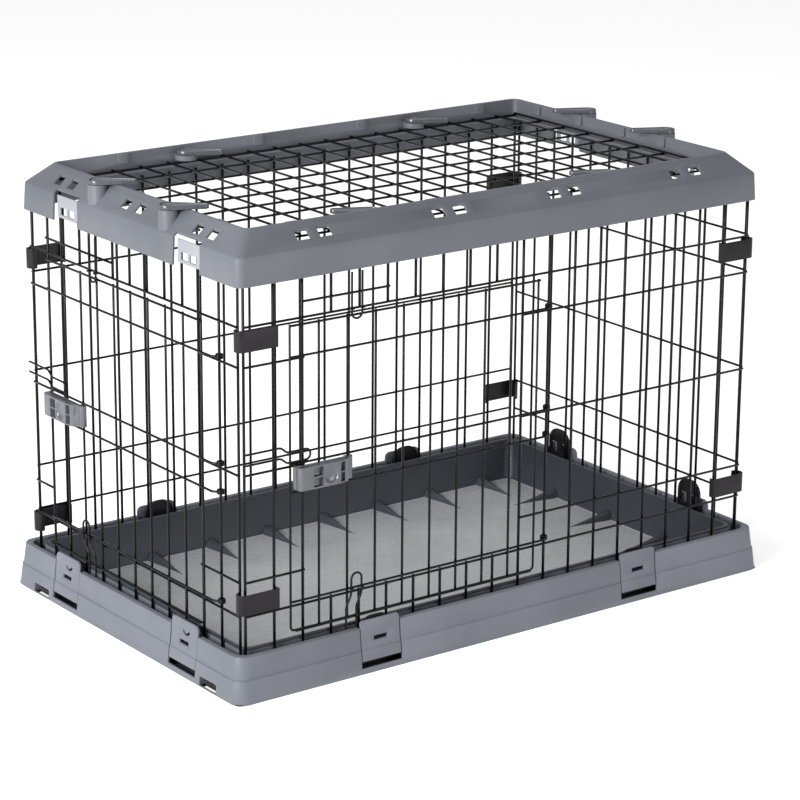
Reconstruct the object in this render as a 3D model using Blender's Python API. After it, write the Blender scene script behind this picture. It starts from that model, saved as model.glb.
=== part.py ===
"""Folding wire dog crate: moulded base ring and tray, four wire walls, two wire doors, moulded top frame.

Frame: X along the crate, Y across it, Z up, origin on the ground under the middle. The long wall with
the side door faces -Y, and the short wall with the end door faces -X. Sizes are in metres.

Every wall has its own local axes: x runs along the wall, y points inwards from the crate's outer edge,
z is up. seat() turns and places a piece that was drawn in them, so one drawing serves all four sides.
"""

import math

import bmesh
import bpy
from mathutils import Matrix

# Overall sizes
LENGTH = 0.920
WIDTH = 0.583
GAP = 0.0003  # clearance between pieces that rest on each other

# Base ring: a two-tier outer wall, a rim, a groove for the wire walls, an inner wall and a floor ledge
BASE_STEP_Z = 0.033
BASE_TOP = 0.064
BASE_DRAFT = 0.003
TIER_STEP = 0.0012
RIM_INSET = 0.007
GROOVE_START = 0.015
GROOVE_END = 0.029
GROOVE_FLOOR = 0.046
BASE_WALL = 0.0026
LEDGE_WIDTH = 0.030
CORNER_RADIUS = 0.018
INNER_RADIUS = 0.010

# Tray
TRAY_FLOOR = 0.0025
TRAY_RIM = 0.0032
TRAY_RIM_WIDTH = 0.0057
TRAY_SLOPE = 0.011
TRAY_RIB_LENGTH = 0.072
TRAY_RIB_WIDTH = 0.034
TRAY_RIB_HEIGHT = 0.0055

# Wire walls
WIRE = 0.003
WELD = 0.0003  # how far one wire is sunk in the wire that it crosses
WALL_INSET = 0.0256  # middle of the upright wires, from the outer edge
LONG_GAPS = 19
SHORT_GAPS = 12
LONG_PITCH = (LENGTH - 2 * 0.02965) / LONG_GAPS  # the end wires are 29.65 mm in from the outer edge
SHORT_PITCH = (WIDTH - 2 * 0.0317) / SHORT_GAPS
WALL_BOTTOM = 0.050
WALL_TOP = 0.578
SILL_Z = 0.113
HEADER_Z = 0.503
RAIL_Z = (0.160, 0.306, 0.450)
BACK_RAIL_Z = (0.178, 0.320, 0.464)
STAY_Z = 0.524  # short stay wire over each doorway

# Doors
DOOR_BOTTOM = 0.080
DOOR_TOP = 0.496
DOOR_EYE_Z = (0.121, 0.272, 0.3105, 0.4545)
DOOR_UPRIGHTS = 10
DOOR_CLEAR = 0.0004
EYE_BORE = 0.0026
EYE_RADIUS = 0.0054
EYE_HEIGHT = 0.0034
KNUCKLE_RADIUS = 0.0062
KNUCKLE_BORE = 0.0028
KNUCKLE_BACK = 0.0014  # the door latch's knuckle is a C: it is open from here inwards

# Hairpin bolts on the doors
BOLT_LENGTH = 0.1005
BOLT_BEND = 0.00725
BOLT_JOG = 0.008
PIN_BEND = 0.0083
SIDE_PIN_JOG = -0.0085
END_PIN_JOG = 0.0150
PIN_LOW = 0.0665
PIN_LOW_BEND = 0.134
PIN_HIGH = 0.5545
PIN_HIGH_BEND = 0.500

# Top frame
SKIRT_BOTTOM = 0.556
SKIRT_TOP = 0.594
TOP_LIP = 0.6225
SKIRT_INSET = 0.017
SKIRT_DRAFT = 0.002
SLOPE_WIDTH = 0.030
LIP_WIDTH = 0.005
TOP_WALL = 0.0026
ROOF_SHELF_Z = 0.5945
ROOF_SHELF = 0.008
WINDOW_PITCH = 0.035
WINDOW_WIDTH_LONG = 0.020
WINDOW_WIDTH_SHORT = 0.017
NOTCH_WIDTH = 0.064
NOTCH_DEPTH = 0.008
TAB_WIDTH = 0.016
CLIP_PLATE_GAP = 0.0012
CLIP_PLATE_SHORT = 0.0092  # how far a clip plate stops short of its notch on one side

# Roof grid
ROOF_GAPS_X = 16
ROOF_GAPS_Y = 6
ROOF_PITCH_X = (LENGTH - 2 * 0.0952) / ROOF_GAPS_X
ROOF_PITCH_Y = (WIDTH - 2 * 0.1205) / ROOF_GAPS_Y

# Turning levers on the top frame
LEVER_LENGTH = 0.047
LEVER_HUB = 0.013
LEVER_TIP = 0.006
LEVER_THICK = 0.0062
LEVER_SHAFT = 0.0040
BORE_CLEAR = 0.0005
END_HUB_INSET = 0.032
SIDE_BOSS_TOP = 0.612
END_BOSS_RADIUS = 0.0135
SIDE_BOSS_RADIUS = 0.0160

# Latches in the base
LATCH_WIDTH = 0.064
LATCH_CLEAR = 0.0015
LATCH_BOTTOM = 0.0175
LATCH_PIVOT_Z = 0.020
LATCH_PIVOT_INSET = 0.006
LATCH_WALL = 0.003
NOTCH_BOTTOM = 0.008
HOOK_INSET = 0.0165
HOOK_THICK = 0.0035
HOOK_FOOT = 0.046

# Corner clips
CLIP_HEIGHT = 0.028
CLIP_HIGH_Z = 0.485
CLIP_LOW_Z = {  # each lower clip sits clear of its end wall's rails
    ("rear", "left"): 0.0965,
    ("rear", "right"): 0.144,
    ("front", "left"): 0.130,
    ("front", "right"): 0.133,
}
CLIP_WALL = 0.0026
CLIP_BORE = 2.2667 * WIRE

# Transport rollers at one end
ROLLER_RADIUS = 0.0070
ROLLER_WIDTH = 0.026
ROLLER_BORE = 0.0022
ROLLER_PIN = 0.0016
ROLLER_RECESS = 0.040
ROLLER_RECESS_Z = 0.0145
ROLLER_AXIS_INSET = 0.0105
ROLLER_AXIS_Z = 0.0078
ROLLER_OFFSET = WIDTH / 2 - 0.0735

HALF_X = LENGTH / 2
HALF_Y = WIDTH / 2
HALF_WIRE = WIRE / 2
LAYER = WIRE - WELD  # from the middle of one wire to the middle of the wire welded on it
DOOR_LAYER = LAYER + WIRE + DOOR_CLEAR  # door uprights stand this far out from the wall's uprights
SIDES = {"front": (0, HALF_Y), "right": (90, HALF_X), "back": (180, HALF_Y), "left": (-90, HALF_X)}
LATCH_X = {"front": 0.227, "back": 0.227, "left": 0.153, "right": 0.153}
PLATE_TOP = {"front": 0.073, "back": 0.077, "left": 0.077, "right": 0.077}
HOOK_TOP = {"front": 0.075, "back": 0.084, "left": 0.075, "right": 0.104}
LEVER_X = {"front": 0.202, "back": 0.202, "left": 0.089, "right": 0.089}
TAB_X = {"long": (-0.336, -0.113, 0.071, 0.299), "short": (0.180, 0.082, -0.017, -0.106)}
WINDOW_X = {"long": (-0.316, -0.098, 0.098, 0.316), "short": (-0.175, 0.0, 0.175)}


def clear_scene():
    for item in list(bpy.data.objects):
        bpy.data.objects.remove(item, do_unlink=True)


def material(name, colour, roughness, metallic=0.0):
    made = bpy.data.materials.new(name)
    made.use_nodes = True
    shader = made.node_tree.nodes["Principled BSDF"]
    shader.inputs["Base Color"].default_value = (*colour, 1.0)
    shader.inputs["Roughness"].default_value = roughness
    shader.inputs["Metallic"].default_value = metallic
    return made


def add_object(name, bm, finish):
    bmesh.ops.recalc_face_normals(bm, faces=bm.faces)
    mesh = bpy.data.meshes.new(name)
    bm.to_mesh(mesh)
    bm.free()
    made = bpy.data.objects.new(name, mesh)
    if finish:
        mesh.materials.append(finish)
    bpy.context.scene.collection.objects.link(made)
    return made


def helper(name, bm, owner):
    """A hidden solid in its owner's own axes, for one of its Booleans."""
    made = add_object(name, bm, None)
    made.parent = owner
    made.hide_render = True
    made.display_type = "WIRE"
    return made


def join(owner, bm, label):
    add_boolean(owner, bm, label, "UNION")


def cut(owner, bm, label):
    add_boolean(owner, bm, label, "DIFFERENCE")


def add_boolean(owner, bm, label, operation):
    step = owner.modifiers.new(label, "BOOLEAN")
    step.operation = operation
    step.solver = "EXACT"
    step.object = helper(f"{owner.name}_{label}", bm, owner)


def seat(piece, side, along, inset, height):
    """Places a piece drawn in a wall's axes: along the wall, inwards from the outer edge, up."""
    degrees, half = SIDES[side]
    angle = math.radians(degrees)
    depth = inset - half
    piece.rotation_euler = (0, 0, angle)
    piece.location = (
        along * math.cos(angle) - depth * math.sin(angle),
        along * math.sin(angle) + depth * math.cos(angle),
        height,
    )


def add_box(bm, low, high):
    spans = list(zip(low, high))
    corners = [bm.verts.new((x, y, z)) for z in spans[2] for y in spans[1] for x in spans[0]]
    for face in ((0, 2, 3, 1), (4, 5, 7, 6), (0, 1, 5, 4), (2, 6, 7, 3), (0, 4, 6, 2), (1, 3, 7, 5)):
        bm.faces.new([corners[i] for i in face])


def boxes(*pairs):
    bm = bmesh.new()
    for low, high in pairs:
        add_box(bm, low, high)
    return bm


def add_prism(bm, outline, start, end, axis="z"):
    """An outline of (a, b) points carried along z, or along x with the points as (y, z)."""
    order = {"z": lambda a, b, c: (a, b, c), "x": lambda a, b, c: (c, a, b)}[axis]
    rings = [[bm.verts.new(order(a, b, level)) for a, b in outline] for level in (start, end)]
    count = len(outline)
    for i in range(count):
        j = (i + 1) % count
        bm.faces.new((rings[0][i], rings[0][j], rings[1][j], rings[1][i]))
    bm.faces.new(rings[0])
    bm.faces.new(rings[1])


def prism(outline, start, end, axis="z"):
    bm = bmesh.new()
    add_prism(bm, outline, start, end, axis)
    return bm


def arc(centre, radius, start, end, steps):
    """Points on an arc, both ends included, in degrees."""
    turn = [math.radians(start + (end - start) * i / steps) for i in range(steps + 1)]
    return [(centre[0] + radius * math.cos(a), centre[1] + radius * math.sin(a)) for a in turn]


def disc(centre, radius, sides):
    return arc(centre, radius, 180 / sides, 360 - 180 / sides, sides - 1)


def rounded_rectangle(half_x, half_y, radius, steps):
    points = []
    for sx, sy, start in ((1, 1, 0), (-1, 1, 90), (-1, -1, 180), (1, -1, 270)):
        centre = (sx * (half_x - radius), sy * (half_y - radius))
        points += arc(centre, radius, start, start + 90, steps)
    return points


def ring_of(profile, steps, closed=True):
    """A closed profile of (inset, height, corner radius) carried round the crate's outline.
    closed=False leaves the ends of an open profile to be capped, as a tray's two floors are."""
    bm = bmesh.new()
    rings = []
    for inset, height, radius in profile:
        outline = rounded_rectangle(HALF_X - inset, HALF_Y - inset, radius, steps)
        rings.append([bm.verts.new((x, y, height)) for x, y in outline])
    count = len(rings[0])
    spans = len(rings) if closed else len(rings) - 1
    for k in range(spans):
        low, high = rings[k], rings[(k + 1) % len(rings)]
        for i in range(count):
            j = (i + 1) % count
            bm.faces.new((low[i], low[j], high[j], high[i]))
    if not closed:
        bm.faces.new(rings[0])
        bm.faces.new(rings[-1])
    return bm


# --- Base ring and tray -------------------------------------------------------------------------------


def build_base(finish):
    wall = BASE_WALL
    outer = [
        (0.0, 0.0),
        (BASE_DRAFT, BASE_STEP_Z),
        (BASE_DRAFT + TIER_STEP, BASE_STEP_Z + TIER_STEP),
        (RIM_INSET, BASE_TOP),
        (GROOVE_START, BASE_TOP),
        (GROOVE_START, GROOVE_FLOOR),
    ]
    inner_top = BASE_TOP - 0.002
    inner_face = GROOVE_END + LATCH_WALL
    inner = [
        (GROOVE_END, GROOVE_FLOOR),
        (GROOVE_END, inner_top),
        (inner_face, inner_top),
        (inner_face, wall),
        (inner_face + LEDGE_WIDTH, wall),
        (inner_face + LEDGE_WIDTH, 0.0),
        (GROOVE_END, 0.0),
        (GROOVE_END, GROOVE_FLOOR - wall),
        (RIM_INSET + wall, GROOVE_FLOOR - wall),
        (BASE_DRAFT + TIER_STEP + wall, BASE_STEP_Z + TIER_STEP),
        (wall, 0.0),
    ]
    profile = [(i, z, CORNER_RADIUS) for i, z in outer] + [(i, z, INNER_RADIUS) for i, z in inner[:-3]]
    profile += [(i, z, CORNER_RADIUS) for i, z in inner[-3:]]
    base = add_object("base_frame", ring_of(profile, 4), finish)
    for side, offset in LATCH_X.items():
        for sign in (-1, 1):
            cut_latch_notch(base, side, sign * offset)
    build_roller_recesses(base)
    return base


def wall_boxes(side, spans):
    """Boxes given in a wall's axes as (along, inset, height) spans, turned to the crate's axes."""
    degrees, half = SIDES[side]
    bm = bmesh.new()
    for (a0, a1), (i0, i1), (z0, z1) in spans:
        add_box(bm, (a0, i0 - half, z0), (a1, i1 - half, z1))
    bmesh.ops.rotate(bm, verts=bm.verts, cent=(0, 0, 0), matrix=turn_z(degrees))
    return bm


def turn_z(degrees):
    return Matrix.Rotation(math.radians(degrees), 3, "Z")


def cut_latch_notch(base, side, middle):
    half = LATCH_WIDTH / 2 + LATCH_CLEAR
    deep = HOOK_INSET + HOOK_THICK + LATCH_CLEAR
    spans = [((middle - half, middle + half), (-0.004, deep), (NOTCH_BOTTOM, BASE_TOP + 0.004))]
    label = "left" if middle < 0 else "right"
    cut(base, wall_boxes(side, spans), f"notch_{side}_{label}")


def build_roller_recesses(base):
    """Two openings in the left end's lower edge, each between a pair of ribs that hold the pin."""
    half = ROLLER_RECESS / 2
    rib = 0.003
    cuts, ribs = [], []
    for middle in (-ROLLER_OFFSET, ROLLER_OFFSET):
        cuts.append(((middle - half, middle + half), (-0.003, 0.008), (-0.002, ROLLER_RECESS_Z)))
        for edge in (middle - half - rib, middle + half):
            ribs.append(((edge, edge + rib), (0.0026, 0.020), (0.0004, ROLLER_RECESS_Z + 0.004)))
    join(base, wall_boxes("left", ribs), "roller_ribs")
    cut(base, wall_boxes("left", cuts), "roller_recess")


def build_rollers(rubber, steel):
    for name, along in (("roller_rear", -ROLLER_OFFSET), ("roller_front", ROLLER_OFFSET)):
        wheel = bmesh.new()
        add_prism(wheel, disc((0, 0), ROLLER_RADIUS, 16), -ROLLER_WIDTH / 2, ROLLER_WIDTH / 2, "x")
        roller = add_object(name, wheel, rubber)
        bore = prism(disc((0, 0), ROLLER_BORE, 8), -ROLLER_WIDTH, ROLLER_WIDTH, "x")
        cut(roller, bore, "bore")
        seat(roller, "left", along, ROLLER_AXIS_INSET, ROLLER_AXIS_Z)
        reach = ROLLER_RECESS / 2 - GAP
        pin = add_object(name + "_pin", prism(disc((0, 0), ROLLER_PIN, 8), -reach, reach, "x"), steel)
        seat(pin, "left", along, ROLLER_AXIS_INSET, ROLLER_AXIS_Z)


def build_tray(finish):
    rest = BASE_TOP - 0.002 + GAP
    outer = GROOVE_END + 0.0008
    wall = GROOVE_END + LATCH_WALL + GAP + 0.0002
    floor = BASE_WALL + GAP
    deep = wall + TRAY_SLOPE
    rim_in = outer + TRAY_RIM_WIDTH
    profile = [
        (deep + 0.0025, floor),
        (deep, floor + 0.003),
        (wall, rest - 0.001),
        (wall, rest),
        (outer, rest),
        (outer, rest + TRAY_RIM),
        (rim_in, rest + TRAY_RIM),
        (rim_in, rest),
        (deep + 0.003, floor + 0.0065),
        (deep + 0.0065, floor + TRAY_FLOOR),
    ]
    shell = ring_of([(i, z, 0.012) for i, z in profile], 4, closed=False)
    tray = add_object("tray", shell, finish)
    ribs = bmesh.new()
    floor_top = floor + TRAY_FLOOR
    reach_x = HALF_X - deep - 0.004
    reach_y = HALF_Y - deep - 0.004
    spread = 0.102
    for k in range(8):
        middle = (k - 3.5) * spread
        for sign in (-1, 1):
            add_tray_rib(ribs, (middle, sign * reach_y), (0, -sign), floor_top)
    for middle in (-0.130, 0.0, 0.130):
        for sign in (-1, 1):
            add_tray_rib(ribs, (sign * reach_x, middle), (-sign, 0), floor_top)
    join(tray, ribs, "floor_ribs")
    return tray


def add_tray_rib(bm, root, heading, floor_top):
    """A pointed rib: widest and highest at the wall, running out to a point on the floor."""
    side = (-heading[1], heading[0])
    sink = 0.0012
    corners = []
    for offset, height in ((-0.5, 0.0), (0.5, 0.0), (0.0, TRAY_RIB_HEIGHT)):
        shift = offset * TRAY_RIB_WIDTH
        place = (root[0] + side[0] * shift, root[1] + side[1] * shift, floor_top + height)
        corners.append(bm.verts.new(place))
    for vert in corners[:2]:
        vert.co.z -= sink
    tip_at = (root[0] + heading[0] * TRAY_RIB_LENGTH, root[1] + heading[1] * TRAY_RIB_LENGTH)
    tip = bm.verts.new((*tip_at, floor_top - sink))
    for face in ((0, 1, 2), (0, 2, 3), (2, 1, 3), (1, 0, 3)):
        bm.faces.new([(corners + [tip])[i] for i in face])


# --- Latches in the base ------------------------------------------------------------------------------


def build_base_latches(plate_finish, hook_finish):
    for side, offset in LATCH_X.items():
        for label, sign in (("left", -1), ("right", 1)):
            name = f"base_latch_{side}_{label}"
            build_latch_plate(name, side, sign * offset, plate_finish)
            build_latch_hook(name.replace("latch", "hook"), side, sign * offset, hook_finish)


def build_latch_plate(name, side, along, finish):
    """The outer plate follows the base's two tiers, with a finger gap under it. Drawn about its pivot."""
    half = LATCH_WIDTH / 2
    top = PLATE_TOP[side]
    skin = 0.0006
    outline = [
        (skin + 0.0012, LATCH_BOTTOM),
        (BASE_DRAFT + skin, BASE_STEP_Z),
        (BASE_DRAFT + TIER_STEP + skin, BASE_STEP_Z + TIER_STEP),
        (RIM_INSET + skin, BASE_TOP),
        (RIM_INSET + 0.0015, top),
        (RIM_INSET + 0.0015 + LATCH_WALL, top),
        (RIM_INSET + LATCH_WALL, BASE_TOP),
        (BASE_DRAFT + LATCH_WALL + 0.002, BASE_STEP_Z + 0.002),
        (LATCH_WALL + 0.002, LATCH_BOTTOM),
    ]
    local = [(inset - LATCH_PIVOT_INSET, height - LATCH_PIVOT_Z) for inset, height in outline]
    plate = add_object(name, prism(local, -half, half, "x"), finish)
    slot = ((-0.011, -0.009, 0.0235), (0.011, 0.012, 0.0295))
    cut(plate, boxes(slot), "slot")
    seat(plate, side, along, LATCH_PIVOT_INSET, LATCH_PIVOT_Z)


def build_latch_hook(name, side, along, finish):
    """A D-shaped hook plate behind the outer plate, with two arms that reach it."""
    half = LATCH_WIDTH / 2 - 0.008
    top = HOOK_TOP[side] - LATCH_PIVOT_Z
    foot = HOOK_FOOT - LATCH_PIVOT_Z
    radius = min(0.020, (top - foot) * 0.6)
    outline = [(-half, foot), (half, foot)]
    outline += arc((half - radius, top - radius), radius, 0, 90, 4)
    outline += arc((-half + radius, top - radius), radius, 90, 180, 4)
    start = HOOK_INSET - LATCH_PIVOT_INSET
    bm = bmesh.new()
    add_prism(bm, [(a, b) for a, b in outline], start, start + HOOK_THICK)
    upright_plate = Matrix(((1, 0, 0, 0), (0, 0, 1, 0), (0, 1, 0, 0), (0, 0, 0, 1)))
    bmesh.ops.transform(bm, verts=bm.verts, matrix=upright_plate)
    hook = add_object(name, bm, finish)
    plate_back = RIM_INSET + LATCH_WALL + 0.0019 - LATCH_PIVOT_INSET
    arms = []
    for x in (-0.018, 0.018):
        arms.append(((x - 0.004, plate_back, foot + 0.003), (x + 0.004, start + 0.001, foot + 0.009)))
    join(hook, boxes(*arms), "arms")
    if top - foot > 0.045:
        holes = []
        for x in (-0.012, 0.012):
            holes.append(((x - 0.007, start - 0.002, foot + 0.020), (x + 0.007, start + 0.006, foot + 0.036)))
        cut(hook, boxes(*holes), "holes")
    seat(hook, side, along, LATCH_PIVOT_INSET, LATCH_PIVOT_Z)


# --- Wire walls ---------------------------------------------------------------------------------------


def upright(x, y, low, high):
    """A square upright wire's box, centred on x and y."""
    return ((x - HALF_WIRE, y - HALF_WIRE, low - HALF_WIRE), (x + HALF_WIRE, y + HALF_WIRE, high + HALF_WIRE))


def rail(start, end, y, z):
    """A square level wire's box, centred on y and z."""
    low = (start - HALF_WIRE, y - HALF_WIRE, z - HALF_WIRE)
    return (low, (end + HALF_WIRE, y + HALF_WIRE, z + HALF_WIRE))


def build_closed_wall(name, side, pitch, gaps, levels, finish):
    places = [(k - gaps / 2) * pitch for k in range(gaps + 1)]
    wall = add_object(name, boxes(*[upright(x, 0, WALL_BOTTOM, WALL_TOP) for x in places]), finish)
    join(wall, boxes(*[rail(places[0], places[-1], -LAYER, z) for z in levels]), "rails")
    seat(wall, side, 0, WALL_INSET, 0)


def build_doorway_wall(name, side, pitch, gaps, doorway, stay, finish):
    """A wall with a doorway between two of its uprights, which are counted from its left end."""
    places = [(k - gaps / 2) * pitch for k in range(gaps + 1)]
    first, last = doorway
    wires = []
    for k, x in enumerate(places):
        if first < k < last:
            wires.append(upright(x, 0, WALL_BOTTOM, SILL_Z))
            wires.append(upright(x, 0, HEADER_Z, WALL_TOP))
        else:
            wires.append(upright(x, 0, WALL_BOTTOM, WALL_TOP))
    wall = add_object(name, boxes(*wires), finish)
    rails = [rail(places[0], places[-1], -LAYER, z) for z in (SILL_Z, HEADER_Z)]
    for z in RAIL_Z:
        rails.append(rail(places[0], places[first], -LAYER, z))
        rails.append(rail(places[last], places[-1], -LAYER, z))
    rails.append(rail(places[stay[0]], places[stay[1]], -LAYER, STAY_Z))
    join(wall, boxes(*rails), "rails")
    seat(wall, side, 0, WALL_INSET, 0)


# --- Doors and their catches --------------------------------------------------------------------------


def build_door(name, side, hinge, pitch, edge, finish):
    """A wire door drawn about its hinge wire. hinge and edge are places along the wall: the hinge wire,
    and the door's upright nearest to it."""
    near = edge - hinge
    places = [near - k * pitch for k in range(DOOR_UPRIGHTS)]
    out, face = -DOOR_LAYER, -DOOR_LAYER - LAYER
    door = add_object(name, boxes(*[upright(x, out, DOOR_BOTTOM, DOOR_TOP) for x in places]), finish)
    rails = [rail(places[-1], near, face, z) for z in (DOOR_BOTTOM, DOOR_TOP)]
    rails += [rail(places[-1], 0, face, z) for z in DOOR_EYE_Z]
    join(door, boxes(*rails), "rails")
    eyes, necks, bores = bmesh.new(), bmesh.new(), bmesh.new()
    half = EYE_HEIGHT / 2
    for z in DOOR_EYE_Z:
        add_prism(eyes, disc((0, 0), EYE_RADIUS, 8), z - half, z + half)
        add_box(necks, (-0.0012, face - 0.001, z - 0.0012), (0.0012, -EYE_BORE - 0.001, z + 0.0012))
        add_prism(bores, disc((0, 0), EYE_BORE, 8), z - 2 * half, z + 2 * half)
    join(door, eyes, "eyes")
    join(door, necks, "necks")
    cut(door, bores, "bores")
    seat(door, side, hinge, WALL_INSET, 0)
    return places[-1]


def build_thumb_latch(name, side, hinge, pitch, free_edge, finish):
    """A moulded latch that turns on the door's third upright from the free edge. Its nose stops in
    front of the doorway's upright. Drawn about the upright that it turns on."""
    low = DOOR_EYE_Z[1] + HALF_WIRE + 0.002
    high = DOOR_EYE_Z[2] - HALF_WIRE - 0.002
    nose = -(2 * pitch - 0.0051)
    face = -HALF_WIRE - 0.0009
    outline = [
        (0.0, face),
        (nose + 0.003, face),
        (nose + 0.003, 0.0012),
        (nose, 0.0012),
        (nose, -0.008),
        (nose + 0.006, -0.0135),
        (nose + 0.026, -0.0165),
        (-0.020, -0.0165),
        (-0.007, -0.0125),
    ]
    latch = add_object(name, prism(outline, low, high), finish)
    join(latch, prism(disc((0, -0.001), KNUCKLE_RADIUS, 12), low + 0.0004, high - 0.0004), "knuckle")
    cut(latch, prism(disc((0, 0), KNUCKLE_BORE, 8), low - 0.002, high + 0.002), "bore")
    cut(latch, boxes(((-0.01, KNUCKLE_BACK, low - 0.002), (0.01, 0.012, high + 0.002))), "open_back")
    seat(latch, side, hinge + free_edge + 2 * pitch, WALL_INSET - DOOR_LAYER, 0)


def wire_curve(name, points, finish):
    """A bent wire through the given points, closed at both ends."""
    curve = bpy.data.curves.new(name, "CURVE")
    curve.dimensions = "3D"
    curve.fill_mode = "FULL"
    curve.bevel_depth = HALF_WIRE
    curve.bevel_resolution = 1
    curve.use_fill_caps = True
    spline = curve.splines.new("POLY")
    spline.points.add(len(points) - 1)
    for point, place in zip(spline.points, points):
        point.co = (*place, 1.0)
    curve.materials.append(finish)
    made = bpy.data.objects.new(name, curve)
    bpy.context.scene.collection.objects.link(made)
    return made


def build_slide_bolt(name, side, hinge, tip, finish):
    """A hairpin across the door's free edge: two legs with a joggle, closed by a round end. tip is where
    its open end lies along the wall."""
    depth = HALF_WIRE + 0.0019
    top = [(0.0, 0.0), (0.052, 0.0), (0.066, -BOLT_JOG), (BOLT_LENGTH - BOLT_BEND, -BOLT_JOG)]
    points = [(x, -depth, BOLT_BEND + z) for x, z in top]
    points += [(x, -depth, z) for x, z in arc(top[-1], BOLT_BEND, 60, -60, 4)]
    points += [(x, -depth, z - BOLT_BEND) for x, z in reversed(top)]
    bolt = wire_curve(name, points, finish)
    low = DOOR_EYE_Z[2] + WIRE + DOOR_CLEAR
    seat(bolt, side, hinge + tip, WALL_INSET - DOOR_LAYER, low + BOLT_JOG + BOLT_BEND)


def build_drop_bolts(prefix, side, lower, upper, jog, finish):
    """Two hairpins on each door: the upper one points up under the skirt, and the lower one's legs shift
    sideways by jog on their way down to the rim. lower and upper are their places along the wall."""
    depth = WALL_INSET - DOOR_LAYER - LAYER - WIRE - 0.0005
    half = PIN_BEND
    bend = arc((0, 0), half, 0, 180, 6)
    low = PIN_LOW - PIN_LOW_BEND
    legs = [(0.0, low), (0.0, low + 0.030), (1.0, low + 0.048)]
    points = [(half + jog * (1 - share), 0, z) for share, z in legs]
    points += [(x, 0, z) for x, z in bend]
    points += [(-half + jog * (1 - share), 0, z) for share, z in reversed(legs)]
    seat(wire_curve(f"{prefix}_lower_bolt", points, finish), side, lower, depth, PIN_LOW_BEND)
    high = PIN_HIGH - PIN_HIGH_BEND
    points = [(half, 0, high)] + [(x, 0, -z) for x, z in bend] + [(-half, 0, high)]
    seat(wire_curve(f"{prefix}_upper_bolt", points, finish), side, upper, depth, PIN_HIGH_BEND)


# --- Corner clips -------------------------------------------------------------------------------------


def build_corner_clips(finish):
    """Eight clips: each wraps the two walls' end wires at a corner and hooks on the long wall's next wire."""
    end = LONG_GAPS / 2 * LONG_PITCH
    centre = (end + 0.0016, HALF_Y - WALL_INSET - 0.0024)
    outer = CLIP_BORE + CLIP_WALL
    tail = end - LONG_PITCH - HALF_WIRE - 0.001
    face = centre[1] + CLIP_BORE
    outline = arc(centre, outer, -100, 90, 8)
    outline += [(tail - CLIP_WALL, face + CLIP_WALL), (tail - CLIP_WALL, face - 0.0075)]
    outline += [(tail, face - 0.0075), (tail, face)]
    outline += arc(centre, CLIP_BORE, 90, -100, 8)
    for fore, sy in (("rear", 1), ("front", -1)):
        for hand, sx in (("left", -1), ("right", 1)):
            for level, middle in (("lower", CLIP_LOW_Z[fore, hand]), ("upper", CLIP_HIGH_Z)):
                turned = [(sx * x, sy * y) for x, y in outline]
                bm = prism(turned, middle - CLIP_HEIGHT / 2, middle + CLIP_HEIGHT / 2)
                add_object(f"corner_clip_{fore}_{hand}_{level}", bm, finish)


# --- Top frame, roof and levers -----------------------------------------------------------------------


def build_top_frame(finish):
    top_in = SKIRT_INSET + SKIRT_DRAFT
    lip = top_in + SLOPE_WIDTH
    inner = lip + LIP_WIDTH
    wall = TOP_WALL
    profile = [
        (SKIRT_INSET, SKIRT_BOTTOM),
        (top_in, SKIRT_TOP),
        (lip, TOP_LIP),
        (inner, TOP_LIP),
        (inner, ROOF_SHELF_Z + 0.0026),
        (inner + ROOF_SHELF, ROOF_SHELF_Z + 0.0026),
        (inner + ROOF_SHELF, ROOF_SHELF_Z),
        (inner - wall, ROOF_SHELF_Z),
        (inner - wall, TOP_LIP - 0.0034),
        (lip + 0.0008, TOP_LIP - 0.0034),
        (top_in + wall, SKIRT_TOP - 0.0008),
        (SKIRT_INSET + wall, SKIRT_BOTTOM),
    ]
    radii = [0.012] * 3 + [0.008] * 9
    frame = add_object("top_frame", ring_of([(i, z, r) for (i, z), r in zip(profile, radii)], 2), finish)
    for side in SIDES:
        kind = "long" if side in ("front", "back") else "short"
        join(frame, lever_bosses(side, kind), f"bosses_{side}")
        join(frame, roof_tabs(side, kind, inner), f"tabs_{side}")
        cut(frame, slope_windows(side, kind), f"windows_{side}")
        cut(frame, lever_bores(side, kind), f"bores_{side}")
    for side in ("left", "right"):
        spans = []
        for middle in (-LATCH_X[side], LATCH_X[side]):
            span = (middle - NOTCH_WIDTH / 2, middle + NOTCH_WIDTH / 2)
            height = (SKIRT_BOTTOM - 0.004, SKIRT_TOP + 0.009)
            spans.append((span, (0.010, SKIRT_INSET + NOTCH_DEPTH), height))
        cut(frame, wall_boxes(side, spans), f"skirt_notches_{side}")


def hub_place(kind):
    """The inset and the height of a lever's seat on its boss."""
    if kind == "short":
        return END_HUB_INSET, TOP_LIP
    inner = SKIRT_INSET + SKIRT_DRAFT + SLOPE_WIDTH + LIP_WIDTH
    return inner + LEVER_HUB + 0.0005, SIDE_BOSS_TOP


def wall_prisms(side, discs):
    """Upright round posts given in a wall's axes as (along, inset, radius, low, high, sides)."""
    degrees, half = SIDES[side]
    bm = bmesh.new()
    for along, inset, radius, low, high, count in discs:
        add_prism(bm, disc((along, inset - half), radius, count), low, high)
    bmesh.ops.rotate(bm, verts=bm.verts, cent=(0, 0, 0), matrix=turn_z(degrees))
    return bm


def lever_bosses(side, kind):
    inset, top = hub_place(kind)
    low = SKIRT_TOP + 0.0005 if kind == "short" else ROOF_SHELF_Z + 0.0100
    radius = END_BOSS_RADIUS if kind == "short" else SIDE_BOSS_RADIUS
    posts = [(sign * LEVER_X[side], inset, radius, low, top, 16) for sign in (-1, 1)]
    return wall_prisms(side, posts)


def lever_bores(side, kind):
    inset, top = hub_place(kind)
    bore = LEVER_SHAFT + BORE_CLEAR
    posts = [(sign * LEVER_X[side], inset, bore, top - 0.0065, top + 0.004, 8) for sign in (-1, 1)]
    return wall_prisms(side, posts)


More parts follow.
